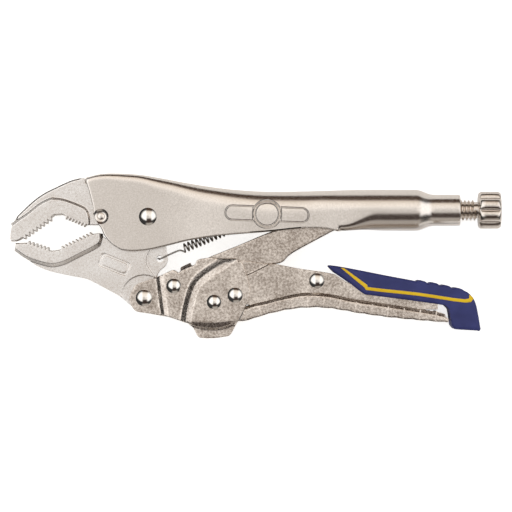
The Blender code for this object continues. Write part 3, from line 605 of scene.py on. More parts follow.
def handle_sizes(x):
    """Half width, top, bottom, top bend, bottom curl and seam gap of the folded sheet at x."""
    neck = between(x, [(139, 0), (NECK_START, 1.0)])
    half = between(x, [(8, CHEEK_HALF), (52, CHANNEL_HALF), (80, CHANNEL_HALF), (112, TUBE_RADIUS)])
    half += (NECK_RADIUS - TUBE_RADIUS) * neck
    top = along(min(x, 140), HANDLE_TOP) + (SCREW_Y + NECK_RADIUS - HANDLE_TOP[-1][1]) * neck
    low = between(x, [(20, -30), (70, -14), (90, -12), (100, SCREW_Y - TUBE_RADIUS)])
    low += (TUBE_RADIUS - NECK_RADIUS) * neck
    bend = between(x, [(-28, 2), (-8, 3), (10, 4.6), (30, 6.6), (60, 8.2), (85, 8.9), (112, TUBE_RADIUS)])
    bend = min(bend, half - 0.01)
    fold = bend_curve(between(x, [(60, 1.9), (112, 1)]), BEND_ROWS)
    curl = min(between(x, [(101, 3.6), (119, TUBE_RADIUS)]), half - 0.01)
    gap = between(x, [(104, 7.3), (124, 1.2), (140, 0.5)])
    return half, top, low, bend, curl, gap, fold


def handle_row(x, low_end, fraction_row):
    """One point of the outer skin, as (x, y, z), on a numbered row of the section at x."""
    half, top, low, bend, curl, gap, fold = handle_sizes(x)
    fold_start = top - bend * fold[-1][0]
    if fraction_row >= LOW_ROWS + BEND_ROWS:
        t = (fraction_row - LOW_ROWS - BEND_ROWS) / TOP_ROWS
        return (x, top, (half - bend) * (1 - t))
    if fraction_row >= LOW_ROWS:
        height, depth = fold[fraction_row - LOW_ROWS]
        return (x, fold_start + bend * height, half - bend * depth)
    t = fraction_row / LOW_ROWS
    if low_end is not None:
        y = low_end + (fold_start - low_end) * t
        return (x, y, half)
    start = -90.0
    if gap > half - curl:
        start = -math.degrees(math.acos((gap - (half - curl)) / curl))
    run = arc((half - curl, low + curl), curl, start, 0, 3.0) + [(half, fold_start)]
    run = [p for p in run if p[1] >= along(min(x, 104), LOW_EDGE) - 0.3 or x > 104]
    point = resampled(run, LOW_ROWS)[fraction_row]
    return (x, point.y, point.x)


def handle_skin():
    """Rows of points over the whole outer skin: slanted stations at the front, square ones behind."""
    total = LOW_ROWS + BEND_ROWS + TOP_ROWS
    front = sorted(((y, x) for x, y in FRONT_EDGE))
    first_square = -6.0
    stations = []
    for s in range(14):
        share = s / 14
        corner_x = -14.7 + (first_square + 14.7) * share
        low_end = along(corner_x, LOW_EDGE)
        row = []
        for k in range(total + 1):
            x = first_square
            for _ in range(4):
                y = handle_row(x, low_end, k)[1]
                x = along(y, front) + (first_square - along(y, front)) * share
            row.append(handle_row(x, low_end, k))
        stations.append(row)
    x = first_square
    while x < NECK_END - 1.1:
        low_end = along(x, LOW_EDGE) if x < 99 else None
        stations.append([handle_row(x, low_end, k) for k in range(total + 1)])
        x += 0.8 if 96 < x < 152 else 1.4
    stations.append([handle_row(NECK_END, None, k) for k in range(total + 1)])
    return stations


def make_handle():
    form = bmesh.new()
    rows = []
    for station in handle_skin():
        near = [form.verts.new(p) for p in station]
        far = [form.verts.new((x, y, -z)) for x, y, z in reversed(station[:-1])]
        rows.append(near + far)
    for a, b in zip(rows, rows[1:]):
        for k in range(len(a) - 1):
            form.faces.new((a[k], b[k], b[k + 1], a[k + 1]))
    bmesh.ops.remove_doubles(form, verts=form.verts, dist=0.03)
    handle = from_form("folded_handle", form)
    shell = handle.modifiers.new("sheet", "SOLIDIFY")
    shell.thickness = HANDLE_SHEET
    shell.offset = -1.0
    handle = bake(handle)
    handle = bevelled(handle, 0.75, 4, 60)
    dish = [(6.3, 0), (6.3, 2.2), (6.7, 3), (7.9, 4.5), (FAR, 4.5), (FAR, 0.0)]
    for side in (1, -1):
        handle = cut(handle, pinned(revolved("dish", dish, 48), JAW_PIN, side), "FAST")
    finish(handle, "handle", SATIN, ["fixed_handle"])


def side_strip(name, outline, inner, depth, rise):
    """A closed raised border that follows the handle's flat side between two outlines."""
    rings = []
    for (ax, ay), (bx, by) in zip(outline, inner):
        ring = []
        for share, lift in ((0.0, -depth), (0, 0), (0.36, rise), (0.64, rise), (1, 0), (1.0, -depth)):
            x, y = ax + (bx - ax) * share, ay + (by - ay) * share
            ring.append((x, y, handle_sizes(x)[0] + lift))
        rings.append(ring)
    return loft(name, rings, capped=False)


def inset_loop(points, distance):
    """A closed outline moved inwards."""
    moved = []
    for i, point in enumerate(points):
        before, after = Vector(points[i - 1]), Vector(points[(i + 1) % len(points)])
        direction = (after - before).normalized()
        moved.append(tuple(Vector(point) + Vector((-direction.y, direction.x)) * distance))
    return moved


def make_cartouche():
    """The stamped border on the handle's side, left blank: a long panel with a round boss over it."""
    turn = math.radians(-2.2)
    centre = Vector((61.7, 1.4))

    def lay(points):
        return [tuple(Matrix.Rotation(turn, 2) @ Vector(p) + centre) for p in points]

    panel = lay(rounded([(-22, -4.2, 4.1), (-6.6, -4.2), (-6.6, 4.2), (-22, 4.2, 4.1)]))
    other = lay(rounded([(6.6, -4.2), (22, -4.2, 4.1), (22, 4.2, 4.1), (6.6, 4.2)]))
    boss = lay(circle((0, 0), 7.8, 6))
    inner_boss = lay(circle((0, 0), 6.6, 6))
    pieces = []
    for outline in (panel, other, boss, inner_boss):
        outline = [tuple(p) for p in resampled(list(outline) + [outline[0]], 90)][:-1]
        pieces.append(side_strip("border", outline, inset_loop(outline, 1.0), 0.4, 0.3))
    finish(together("blank_cartouche", pieces), "handle", SATIN)


# ---- jaws
def teeth(start, end, count, depth):
    start, end = Vector(start), Vector(end)
    step = (end - start) / count
    left = Vector((-step.y, step.x)).normalized() * depth
    run = []
    for k in range(count):
        run += [tuple(start + step * (k + 0.08)), tuple(start + step * (k + 0.42) + left),
            tuple(start + step * (k + 0.58) + left), tuple(start + step * (k + 0.92))]
    return run


TOOTH_DEPTH = 1.5
UPPER_TEETH = (teeth((-31.8, -4.4), (-42.8, 0.2), 7, TOOTH_DEPTH) + [(-44.4, 0.9),
    (-48.6, 0.6)] + teeth((-50.2, -0.6), (-65.2, -11.2), 8, TOOTH_DEPTH))
LOWER_TEETH = (teeth((-62.9, -13.6), (-51.2, -17.4), 6, TOOTH_DEPTH) + [(-49.8, -17.6),
    (-46.4, -17.2)] + teeth((-45, -16.8), (-28.6, -8.9), 9, TOOTH_DEPTH))
DRAFT = 1.8
TOOTH_EASE = 0.5
JAW_EASE = 0.9
JAW_VOXEL = 0.22


def raised_bands(edge, outer, side):
    """The thicker band behind the teeth on both faces, drafted along its back and eased at the teeth."""
    low_edge = offset_run(edge, DRAFT * side)
    low, high = list(low_edge) + outer, list(edge) + shifted(outer, 0.0, TOOTH_EASE * side)
    return slab_pair(low, high, JAW_HALF - 0.6, TOOTH_BAND_HALF)


def eased_body(outline, eased):
    """A jaw's forging: its outline, with the points from number eased on drawn in at both faces."""
    inset = inset_loop(outline, -JAW_EASE)
    top = list(outline[:eased]) + inset[eased:]
    level = JAW_HALF - JAW_EASE * 0.65
    return [through(outline, level)] + slab_pair(outline, top, level - 0.1, JAW_HALF)


def make_fixed_jaw():
    inner_top = smooth_path([(-32.3, 17.2), (-25, 19.1), (-17, 19.6), (-6, 18.8), (2, 17.6)], 4)
    outline = [(-32.8, 20)] + inner_top + arc(JAW_PIVOT, 11.9, 78, 203)
    outline += [(-14.5, -4.4), (-31, -4.4)] + UPPER_TEETH
    nose = smooth_path([(-66.5, -12.2), (-68.9, -12.9), (-71.2, -12.7), (-71.45, -9.5), (-70.8, -5.9),
        (-67.8, 0.4)], 5)
    back = smooth_path([(-67.8, 0.4), (-64.1, 4), (-58.9, 8.7), (-53.7, 12.3), (-48.5, 14.9), (-40.7, 18.5),
        (-35.5, 20)], 5)
    body = eased_body(outline + nose + back[1:], len(outline) + 6)
    edge = smooth_path([(-70.4, -5), (-66.7, -2.2), (-61.5, 1.4), (-56.3, 5.6), (-51.1, 8.4), (-48.5, 8.7),
        (-43.3, 7.9), (-35.5, 5), (-32.4, 3), (-31.2, -0.5), (-31, -4.4)], 5)
    outer = UPPER_TEETH + nose[:-4]
    jaw = together("fixed_jaw_body", body + raised_bands(edge, outer, 1))
    jaw = softened(jaw, JAW_VOXEL, 2, 0.4)
    finish(jaw, "handle", FINE, ["fixed_jaw"])


def recess_ring(side):
    """The cutter for one stamped panel: a groove round it and a shallow floor inside."""
    turn = math.radians(RECESS_TURN)
    outlines = []
    for inset in (0.0, RECESS_GROOVE):
        across, up = RECESS_SIZE[0] / 2 - inset, RECESS_SIZE[1] / 2 - inset
        plate = rounded([(-across, -up, 1.8), (across, -up, 1.8), (across, up, 1.8), (-across, up, 1.8)])
        outlines.append([(RECESS_CENTRE[0] + x * math.cos(turn) - y * math.sin(turn),
            RECESS_CENTRE[1] + x * math.sin(turn) + y * math.cos(turn)) for x, y in plate])
    low, floor = JAW_HALF - 1.5, JAW_HALF - 0.3
    ring = prism("groove", outlines[0], *sorted((side * low, side * FAR)))
    return cut(ring, prism("land", outlines[1], *sorted((0.0, side * floor))))


def make_lower_jaw():
    ear = arc(JAW_PIVOT, 11.2, 235, 0)
    rear = [(9.4, -12), (9.4, -16), (10, -20), (10.2, -22.5), (9, -25.6), (6, -28.2), (4.6, -31)]
    tail = arc(LEVER_PIVOT, 7.4, 52, -110)
    underside = smooth_path([(-9.6, -45.6), (-14.7, -41.3), (-22.5, -37), (-30.3, -32.9), (-35.5, -31.5),
        (-40.7, -30.6), (-51.1, -28.2), (-58.9, -24.8), (-65.7, -19.1), (-68.4, -16.2), (-68.8, -13.6)], 5)
    outline = LOWER_TEETH + [(-25.2, -8.5), (-23.6, -10.2), (-22, -11.4), (-14, -11.6)]
    outline += ear + smooth_path(rear, 4) + tail
    lug = rounded([(1.4, -11), (1.4, -16), (-0.9, -20.5, 3), (-0.9, -25, 3), (4.2, -32.4), (30, -32.4),
        (30, -11)])
    body = []
    for piece in eased_body(outline + underside, len(outline) + 4):
        for relief, half in ((lug, LUG_HALF), (circle(LEVER_PIVOT, 12.0), JAW_TAIL_HALF)):
            for a, b in ((half, FAR), (-FAR, -half)):
                piece = cut(piece, prism("relief", relief, a, b))
        for side in (1, -1):
            piece = cut(piece, recess_ring(side))
        body.append(cut(piece, through(circle(SPRING_HOLE, 1.7), FAR)))
    edge = smooth_path([(-68.4, -16.4), (-62.6, -20.5), (-56.3, -22.9), (-51.1, -24.1), (-48.5, -24.2),
        (-43.3, -22.8), (-35.5, -18.9), (-28.6, -15.4), (-25.6, -13), (-25.2, -8.6)], 5)
    outer = list(reversed(LOWER_TEETH)) + [(-63.2, -13.4), (-68.7, -13.7)]
    jaw = together("lower_jaw_body", body + raised_bands(edge, outer, -1))
    jaw = softened(jaw, JAW_VOXEL, 2, 0.4)
    finish(jaw, "jaw", FINE, ["lower_jaw"])


# ---- main lever
JOGGLE_ONE = smooth_path([(4, -31.3), (4.9, -38.1), (5.6, -43.3), (6.7, -51.3)], 4)
JOGGLE_ONE_MID = smooth_path([(5.9, -30.7), (6.8, -38.1), (7.5, -43.3), (8.6, -51.6)], 4)
JOGGLE_ONE_RIGHT = smooth_path([(8.3, -29.8), (9.2, -38.1), (9.9, -43.3), (11, -52)], 4)
JOGGLE_ONE_RISE = 1.6
JOGGLE_TWO = smooth_path([(16.9, -54), (17.5, -48.5), (18.8, -43.3), (20.1, -38.1), (21.7, -34), (24.3, -30.3),
    (29.5, -26.2), (36.2, -21.7)], 5)
JOGGLE_TWO_RIGHT = smooth_path([(19.4, -54.9), (20.1, -49.6), (21.2, -44.9), (22.5, -39.7), (24.3, -35.5),
    (26.9, -32.1), (32.1, -28.2), (39.9, -23.6), (44.6, -21.5)], 5)
JOGGLE_TWO_SHOULDER = smooth_path([(22.4, -55.2), (23.1, -50), (24.2, -45.4), (25.4, -40.6), (27, -37.2),
    (29.2, -34.4), (34, -30.8), (41, -26.4), (46.6, -21.9)], 4)
JOGGLE_TWO_RISE = 2.2
REAR_BOTTOM = smooth_path([(46.6, -54.2), (52.9, -53.1), (59.6, -50.9), (68.5, -48.7), (76.8, -47.3),
    (84.1, -46.8), (91.9, -47), (100.7, -48.2), (109, -49.7), (125.9, -52), (145.4, -53.8), (155.4, -54.6)], 6)
REAR_TOP = smooth_path([(50.5, -46.5), (56, -44.6), (61.7, -43.4), (68.5, -41.6), (76.8, -39.8), (84.1, -39.1),
    (94.5, -39.9), (107, -42.5), (128.8, -45.8), (147.5, -48.8), (153.9, -50.2)], 6)
RIB_SPACING = 8.3
CREASE_DROP = 0.9
LEVER_VOXEL = 0.42


def scalloped(path, depth):
    """A run whose side swells a little between one rib and the next."""
    points = resampled(path, 200)
    run, moved = 0.0, []
    for before, point in zip([points[0]] + points, points):
        run += (point - before).length
        moved.append((point.x, point.y - depth * abs(math.sin(math.pi * run / RIB_SPACING))))
    return moved


def make_lever():
    ear = rounded([(6, -31), (-6.8, -35.3, 6), (-10.4, -43, 6), (-6.8, -49.2, 4), (0.9, -50.3), (8.6, -51.7),
        (7.4, -42)])
    pieces = both_sides(ear, EAR_HALF - SHEET, EAR_HALF)
    pieces += step_plates(JOGGLE_ONE, JOGGLE_ONE_MID, EAR_HALF, EAR_HALF + JOGGLE_ONE_RISE, SHEET)
    pieces += step_plates(JOGGLE_ONE_MID, JOGGLE_ONE_RIGHT, EAR_HALF + JOGGLE_ONE_RISE, MIDDLE_HALF, SHEET)
    middle = rounded([(8, -29.8), (11.3, -28.2), (12.8, -27.6, 1), (14.4, -28.1, 0.8), (15.4, -29.2, 0.6),
        (16.6, -28.6, 0.5), (22.8, -26, 0.3), (23.3, -25.3, 0.5), (24.6, -24.8, 0.5), (25.1, -22.8, 1),
        (26.9, -21.9), (33, -21), (36.4, -21.5)])
    middle += list(reversed(JOGGLE_TWO)) + list(reversed(shifted(JOGGLE_ONE_RIGHT, -0.2, 0.0)))[:-1]
    pieces += both_sides(middle, MIDDLE_HALF - SHEET, MIDDLE_HALF)
    guide = [(16.9, -28.1), (16.8, -26.3), (21.8, -24), (22.6, -25.6)]
    pieces += both_sides(guide, LINK_END_HALF + 0.7, MIDDLE_HALF - 2.3)
    pieces += step_plates([(16.9, -28.4), (22.7, -25.9)], [(16.8, -26.3), (21.9, -23.9)], MIDDLE_HALF,
        MIDDLE_HALF - 1.9, SHEET)
    shoulder = MIDDLE_HALF + JOGGLE_TWO_RISE
    pieces += step_plates(JOGGLE_TWO, JOGGLE_TWO_RIGHT, MIDDLE_HALF, shoulder, SHEET)
    pieces += step_plates(JOGGLE_TWO_RIGHT, JOGGLE_TWO_SHOULDER, shoulder, WIDE_HALF, SHEET)
    wide = list(JOGGLE_TWO_SHOULDER)
    wide += rounded([(48, -21.5, 1.5), (51.1, -29.6), (53.2, -38, 8), (52, -43.5, 6), (46.6, -54.2),
        (41, -54.3), (33.7, -54.7), (24, -54.3)])
    pieces += both_sides(wide, WIDE_HALF - SHEET, WIDE_HALF)
    rear = [(44, -55)] + bar(scalloped(REAR_BOTTOM, 0.3), REAR_TOP) + [(46, -48)]
    pieces += both_sides(rear, REAR_HALF - SHEET, REAR_HALF - SHEET + 0.3)
    rolled = [(44, -55)] + bar(scalloped(REAR_BOTTOM, 0.3), shifted(REAR_TOP, -0.5, -1.9)) + [(46, -50)]
    pieces += slab_pair(rear, rolled, REAR_HALF - SHEET + 0.2, REAR_HALF)
    front_web = bar([(9.6, -51.7), (11.3, -51.9), (16.5, -53.2), (22, -56)],
        [(9.6, -49.6), (11.3, -49.8), (16.5, -51.1), (22, -53.6)])
    pieces.append(through(front_web, MIDDLE_HALF - 0.3))
    ear_web = bar([(3.6, -50.8), (10, -51.7)], [(3.6, -48.7), (10, -49.6)])
    pieces.append(through(ear_web, EAR_HALF - 0.3))
    crease = smooth_path([(22.4, -54.2), (27, -54.5), (33.7, -54.7), (40, -54.3), (46.7, -53)])
    brow = smooth_path([(21.4, -55.6), (26, -57), (33.7, -57.8), (40.5, -56.8), (46.8, -53.9)])
    foot = smooth_path([(21.6, -55.9), (26.2, -57.4), (33.7, -58.2), (40.7, -57.2), (46.9, -54.2)])
    pieces += step_plates(crease, brow, WIDE_HALF, WIDE_HALF - CREASE_DROP, SHEET)
    pieces += step_plates(brow, foot, WIDE_HALF - CREASE_DROP, STOP_HALF, SHEET)
    stop = rounded([(20.4, -55), (23.6, -57.6, 3), (26.1, -62.8, 2.5), (34.2, -63.2, 40), (42.6, -61.8, 3),
        (46.8, -53.8), (44, -53.2), (22, -53.2)])
    pocket = rounded([(23.8, -50), (26, -57, 2), (28, -60.9, 2), (34.2, -61.1, 40), (41, -59.9, 2),
        (43.6, -50)])
    pieces.append(cut(through(stop, STOP_HALF), through(pocket, STOP_HALF - SHEET)))
    web = [(44.4, -56)] + bar(scalloped(REAR_BOTTOM, 0.3), shifted(REAR_BOTTOM, 0.0, SHEET)) + [(44.2, -53.4)]
    pieces.append(through(web, REAR_HALF - 0.2))
    lever = softened(together("pressed_lever", pieces), LEVER_VOXEL, 5, 0.4)
    finish(lever, "lever", BLASTED, ["main_lever"])


def make_ribs(tree):
    """Pressed ribs across the lever's back, wrapped a little way up both sides."""
    rail = [p for p in resampled(REAR_BOTTOM, 120) if 50.0 < p.x < 149.0]
    form = bmesh.new()
    verts = [form.verts.new((p.x, p.y + 2.6, 0.0)) for p in rail]
    for a, b in zip(verts, verts[1:]):
        form.edges.new((a, b))
    ribs = run_rule(from_form("lever_ribs", form), tree, BLASTED,
        {"Spacing": RIB_SPACING, "Width": 0.8, "Height": 5.6, "Length": 2 * REAR_HALF + 0.5})
    ribs = bevelled(ribs, 0.22, 2)
    finish(ribs, "lever", BLASTED)


# ---- toggle link
LINK_TOP = smooth_path([(17, -29.4), (26, -25.7), (31, -21.4), (37.3, -18.7), (47.7, -14.5), (61.7, -8.6),
    (74, -4.2), (86, -1.8), (104, 5.6)], 4)[4:]
LINK_LOW = smooth_path([(17.6, -39.6), (30, -34.8), (44, -29.3), (60, -25.6), (69, -23.9), (72.6, -20.7),
    (76.3, -18.1), (86.7, -12.4), (97.1, -6.9), (106, -2.4)], 4)[4:]
LINK_NOSE = (SCREW_TIP - 1.7 - 4.6, SCREW_Y - 0.7)


def make_link():
    end = arc(LINK_NOSE, 4.6, -62, 118)
    pieces = both_sides(LINK_LOW + end + list(reversed(LINK_TOP)), LINK_HALF - PLATE, LINK_HALF)
    pieces.append(through(bar(LINK_LOW, shifted(LINK_LOW, -0.8, PLATE)), LINK_HALF - 0.3))
    pieces.append(through(end + [(100, 3), (102, -4)], LINK_HALF))
    eye = arc(TOGGLE_PIVOT, 5.6, 111, 291)
    eye += [(17.6, -39.4), (31.5, -34.2), (33, -21.6), (31, -21.6), (26, -25.9), (17, -29.6)]
    pieces.append(through(eye, LINK_END_HALF))
    gather = [(29.5, -34), (33.5, -32.6), (34.5, -20.8), (31.3, -22)]
    pieces.append(through(gather, LINK_HALF - 0.2))
    link = softened(together("folded_link", pieces), 0.4, 4, 0.4)
    finish(link, "link", BLASTED, ["toggle_link"])


# ---- release lever and its grip
RELEASE_BACK = [(96.6, -29.8), (103, -34), (112, -36.6), (126, -39), (140, -41.3), (150, -43.2)]
RELEASE_UNDER = [(150, -48.1), (138, -48), (122, -46.9), (106, -44.9), (94.5, -43.3), (84, -42.8), (70, -45),
    (58, -47.4)]
RELEASE_PLATE = [(26.2, -37), (36, -34), (44, -30.4)]
RELEASE_PLATE += smooth_path([(51.1, -30.6), (55.5, -28.5), (59.1, -26.7), (62.2, -25.2), (64.3, -24.6),
    (66.4, -24.6), (72.6, -25.8), (79.4, -27.1), (89.8, -28.5), (96.6, -29.8)], 4)[:-1]
RELEASE_PLATE += RELEASE_BACK + smooth_path(RELEASE_UNDER, 4) + arc(RELEASE_PIVOT, 7.6, -40, -130)
RELEASE_PLATE += [(39.4, -41.3), (30, -41.2), (26.2, -40)]
CHEEK_LUG = rounded([(45.8, -24.4), (47.4, -22.9, 0.8), (49.4, -22.7), (63.3, -24.5), (70, -26.5), (72, -34),
    (58, -38), (50, -31.6)])


def make_release():
    inner = RELEASE_HALF - PLATE
    pieces = both_sides(RELEASE_PLATE, inner, RELEASE_HALF)
    pieces += both_sides(CHEEK_LUG, LINK_HALF + 0.4, inner + 0.5)
    nose = [(26.2, -37), (32, -35.3), (32, -38.8), (26.2, -40)]
    pieces.append(through(nose, RELEASE_HALF - 1))
    web = bar(RELEASE_BACK[1:], shifted(RELEASE_BACK[1:], 0.0, -PLATE))
    pieces.append(through(web, RELEASE_HALF - 1))
    release = softened(together("release_plates", pieces), 0.4, 3, 0.4)
    finish(release, "release", BLASTED, ["release_lever"])


GRIP_TOP = smooth_path([(92.4, -25), (98.6, -25.7), (111.6, -28.1), (123.1, -30.4), (137.1, -33)], 4)
RIDGES = [(139.6, -33.2), (145.9, -34.3), (152.1, -35.6), (158.3, -37)]
RIDGE_RISE = 0.7
STRIPE_LOW = [(99.6, -26.4), (111.9, -36.6), (114.6, -38.2), (140, -41), (164.3, -44.5), (168.4, -42.2)]
STRIPE_HIGH = [(101.6, -26.7), (113.3, -35.2), (115.2, -36.6), (140, -39.3), (163.6, -42.7), (166.2, -40.2)]


def grip_outline():
    outline = list(GRIP_TOP)
    for x, y in RIDGES:
        outline += smooth_path([(x - 0.4, y - 0.7), (x + 0.6, y + RIDGE_RISE - 0.3), (x + 2.4, y + 0.1),
            (x + 4.2, y - 0.5), (x + 5.2, y - 1.6)], 3)
    outline += smooth_path([(165.2, -38.9), (167.6, -41.2), (169.5, -44.6), (170.8, -50.3), (172.2, -58.4)], 4)
    outline += rounded([(171.6, -59.1), (158.5, -58.3, 1.5), (156.9, -56.3), (156.2, -51), (155.6, -47.8, 2),
        (153.6, -45.9)])
    return outline + smooth_path([(145.4, -44.8), (128.8, -42.5), (114.8, -40.7), (111.1, -39.7),
        (102.3, -32.9), (96, -28.7)], 4)


def make_grip():
    grip = bevelled(prism("soft_grip", grip_outline(), -GRIP_HALF, GRIP_HALF), 1.5, 3)
    tunnel = [(88, -27.8)] + shifted(RELEASE_BACK, 0.0, 0.4)[:-1] + [(150.4, -42.8), (150.4, -60), (88, -60)]
    remesh = grip.modifiers.new("skin", "REMESH")
    remesh.mode = "VOXEL"
    remesh.voxel_size = 0.4
    grip = cut(bake(grip), through(tunnel, RELEASE_HALF + 0.3))
    grip = softened(grip, 0.4, 5, 0.4)
    finish(grip, "release", NAVY, ["grip_sleeve"])
    grip.visible_glossy = False
    outline = bar(smooth_path(STRIPE_LOW, 3), smooth_path(STRIPE_HIGH, 3))
    deep, proud = GRIP_HALF - 0.8, GRIP_HALF + 0.25
    for name, low, high in (("front", deep, proud), ("back", -proud, -deep)):
        stripe = bevelled(prism("inlay_" + name, outline, low, high), 0.2, 2)
        finish(stripe, "release", YELLOW, ["grip_stripe_" + name])
        stripe.visible_glossy = False


# ---- springs
def make_jaw_spring(tree):
    start, end = Vector((18.4, -16.5, 0.0)), Vector((46.8, -4.7, 0.0))
    axis = (end - start).normalized()
    across = Vector((-axis.y, axis.x, 0.0))
    turns = 14
    coil = run_rule(add("jaw_coil", bpy.data.meshes.new("jaw_coil")), tree, SPRING,
        {"Radius": 2.1, "Pitch": (end - start).length / turns, "Turns": float(turns), "Wire": 0.45, "Sides": 8})
    side = axis.cross(across)
    turn = Matrix((-across, -side, axis)).transposed().to_4x4()
    coil.data.transform(Matrix.Translation(start) @ turn)
    hole, anchor = Vector((*SPRING_HOLE, 0.0)), Vector((*SPRING_ANCHOR, 0.0))
    hook = smooth_path([hole + Vector((-1, 0.3, -2.5)), hole, hole + Vector((0.8, 0.4, 2.2)),
        start - axis * 3.4 + Vector((0, 0, 0.9)), start - axis * 1.2 - across * 0.8, start - across * 2.1], 5)
    eye = [end - across * 2.1, end + axis * 1.0 + across * 1.0]
    eye += [anchor + Vector((x, y, 0.0)) for x, y in arc((0, 0), 2.4, 130, -100, 20)]
    ends = [wire("hook", hook, 0.9), wire("eye", smooth_path(eye, 2), 0.9)]
    spring = together("jaw_tension_spring", [coil] + ends)
    settle(spring, SPRING, 60)
    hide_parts("jaw_spring")
    to_world(anchor)
    to_world(hole)
    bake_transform(spring)


def make_release_spring(tree):
    pitch, turns, radius = 1.5, 3.25, 3.9
    coil = run_rule(add("release_coil", bpy.data.meshes.new("release_coil")), tree, SPRING,
        {"Radius": radius, "Pitch": pitch, "Turns": turns, "Wire": 0.55, "Sides": 10})
    coil.data.transform(Matrix.Translation((*GRIP_RIVET, -pitch * turns / 2))
        @ Matrix.Rotation(math.pi / 2, 4, "Z"))
    middle = Vector((*GRIP_RIVET, 0.0))
    low = middle + Vector((0.0, radius, -pitch * turns / 2))
    high = middle + Vector((-radius, 0.0, pitch * turns / 2))
    arms = [wire("arm", [low, low + Vector((9, -2, 0.0))], 1.1),
        wire("leg", smooth_path([high, high + Vector((0.6, -4, 0.0)), high + Vector((6, -9.4, 0.0))], 6), 1.1)]
    spring = together("release_torsion_spring", [coil] + arms)
    finish(spring, "release", SPRING, ["release_spring"], 60)


# ---- adjusting screw and knob
def make_screw(tree):
    core = [(SCREW_TIP + 1.8, 0.0), (SCREW_TIP + 1.8, 2.5), (SCREW_TIP + 4.3, 2.5), (SCREW_TIP + 4.3, 4.8),
        (SCREW_TIP + 4.9, 5.35), (NECK_END - 9.0, 5.35), (NECK_END - 8.0, THREAD_ROOT),
        (KNOB_START - 0.3, THREAD_ROOT), (KNOB_START - 0.3, 3.4), (KNOB_START + 6.0, 3.4),
        (KNOB_START + 6.0, 0.0)]
    rod = placed(revolved("rod", core), 0.0, SCREW_Y)
    start, turns = NECK_END - 7.0, 7.5
    thread = run_rule(add("thread", bpy.data.meshes.new("thread")), tree, TURNED,
        {"Radius": THREAD_CREST - THREAD_WIRE, "Pitch": THREAD_PITCH / THREAD_PRESS, "Turns": turns,
        "Wire": THREAD_WIRE, "Sides": 4})
    thread.data.transform(Matrix.Translation((start, SCREW_Y, 0.0)) @ Matrix.Rotation(math.pi / 2, 4,
        "Y") @ Matrix.Scale(THREAD_PRESS, 4, (0, 0, 1.0)))
    finish(together("threaded_screw", [rod, thread]), "screw", TURNED, ["adjusting_screw"])
    pad = [(0, 0), (0, 4.2), (0.6, 5), (4, 5), (4, 2.8), (1.5, 2.8), (1.5, 0)]
    pad = revolved("bearing_pad", [(SCREW_TIP + x, r) for x, r in pad])
    finish(placed(pad, 0.0, SCREW_Y), "screw_pad", TURNED, ["screw_tip"])


def make_knob():
    """A fluted head: each ring of the turned blank is pulled in at the flutes."""
    rings = [(0, 8.6, 0.0), (0.5, 9.4, 0.3), (1.3, 10, 1.0), (4, 10, 1.0), (7.5, 10, 1.0), (10.1, 10, 1.0),
        (11, 9.4, 0.4), (11.5, 8.8, 0.1)]
    steps = 192
    loops = []
    for x, radius, share in rings:
        loop = []
        for k in range(steps):
            a = 2 * math.pi * k / steps
            dip = 1.5 * share * (1 - abs(math.sin(KNOB_LOBES / 2 * a))) ** 1.5
            loop.append((x, (radius - dip) * math.cos(a), (radius - dip) * math.sin(a)))
        loops.append(loop)
    knob = loft("fluted_knob", loops)
    bore = revolved("bore", [(-5, 0), (-5, 3.7), (6.3, 3.7), (6.3, 0)], 32)
    key = revolved("key", [(7.5, 0), (7.5, 5.0 / math.sqrt(3)), (16.5, 5.0 / math.sqrt(3)), (16.5, 0)], 6)
    knob = cut(cut(knob, bore), key)
    knob = placed(knob, KNOB_START, SCREW_Y)
    finish(bevelled(knob, 0.25, 2, 55), "screw", TURNED, ["adjusting_knob"], 50)


# ---- rivets and pins
RIVETS = {"handle": [("jaw_pivot_rivet", JAW_PIVOT, CHEEK_HALF, 4.6, 2.2)],
    "lever": [("lever_rivet", LEVER_PIVOT, EAR_HALF, 4.2, 1.9),
    ("toggle_rivet", TOGGLE_PIVOT, MIDDLE_HALF, 3.8, 1.9), ("stop_rivet", STOP_RIVET, WIDE_HALF, 3.7, 1.9),
    ("release_pivot_rivet", RELEASE_PIVOT, WIDE_HALF, 3.9, 1.9)],
    "release": [("release_cross_rivet", GRIP_RIVET, RELEASE_HALF, 3.9, 1.8)],}


def make_rivets(tree):
    for body, rows in RIVETS.items():
        mesh = bpy.data.meshes.new("points")
        points, sizes, turns = [], [], []
        for _, (x, y), seat, radius, height in rows:
            for side in (1, -1):
                points.append((x, y, side * (seat + 0.05)))
                sizes.append((radius, radius, height * 0.82))
                turns.append((0.0 if side > 0 else math.pi, 0.0, 0.0))
        mesh.from_pydata(points, [], [])
        for label, values in (("head_size", sizes), ("head_turn", turns)):
            attribute = mesh.attributes.new(label, "FLOAT_VECTOR", "POINT")
            attribute.data.foreach_set("vector", [c for value in values for c in value])
        heads = run_rule(add(body + "_rivet_heads", mesh), tree, BRIGHT, {"Sides": 48})
        shanks = [pinned(revolved("shank", [(-seat, 0.0), (-seat, 2.5), (seat, 2.5), (seat, 0.0)], 24),
            centre) for _, centre, seat, _, _ in rows]
        rivets = together(body + "_rivets", [heads] + shanks)
        finish(rivets, body, BRIGHT, [row[0] for row in rows], 50)


def make_pins():
    profile = [(-7.45, 0), (-7.4, 1), (-7.1, 1.6), (-6.4, 1.9)]
    profile += [(-x, r) for x, r in reversed(profile)]
    pin = pinned(revolved("staked_pin", profile), JAW_PIN)
    finish(pin, "handle", SATIN, ["jaw_retaining_pin"])
    reach = CHANNEL_HALF - HANDLE_SHEET + 0.7
    anchor = revolved("spring_post", [(-reach, 0.0), (-reach, 1.4), (reach, 1.4), (reach, 0.0)], 32)
    anchor = pinned(anchor, SPRING_ANCHOR)
    finish(anchor, "handle", TURNED, ["spring_anchor_pin"], 50)


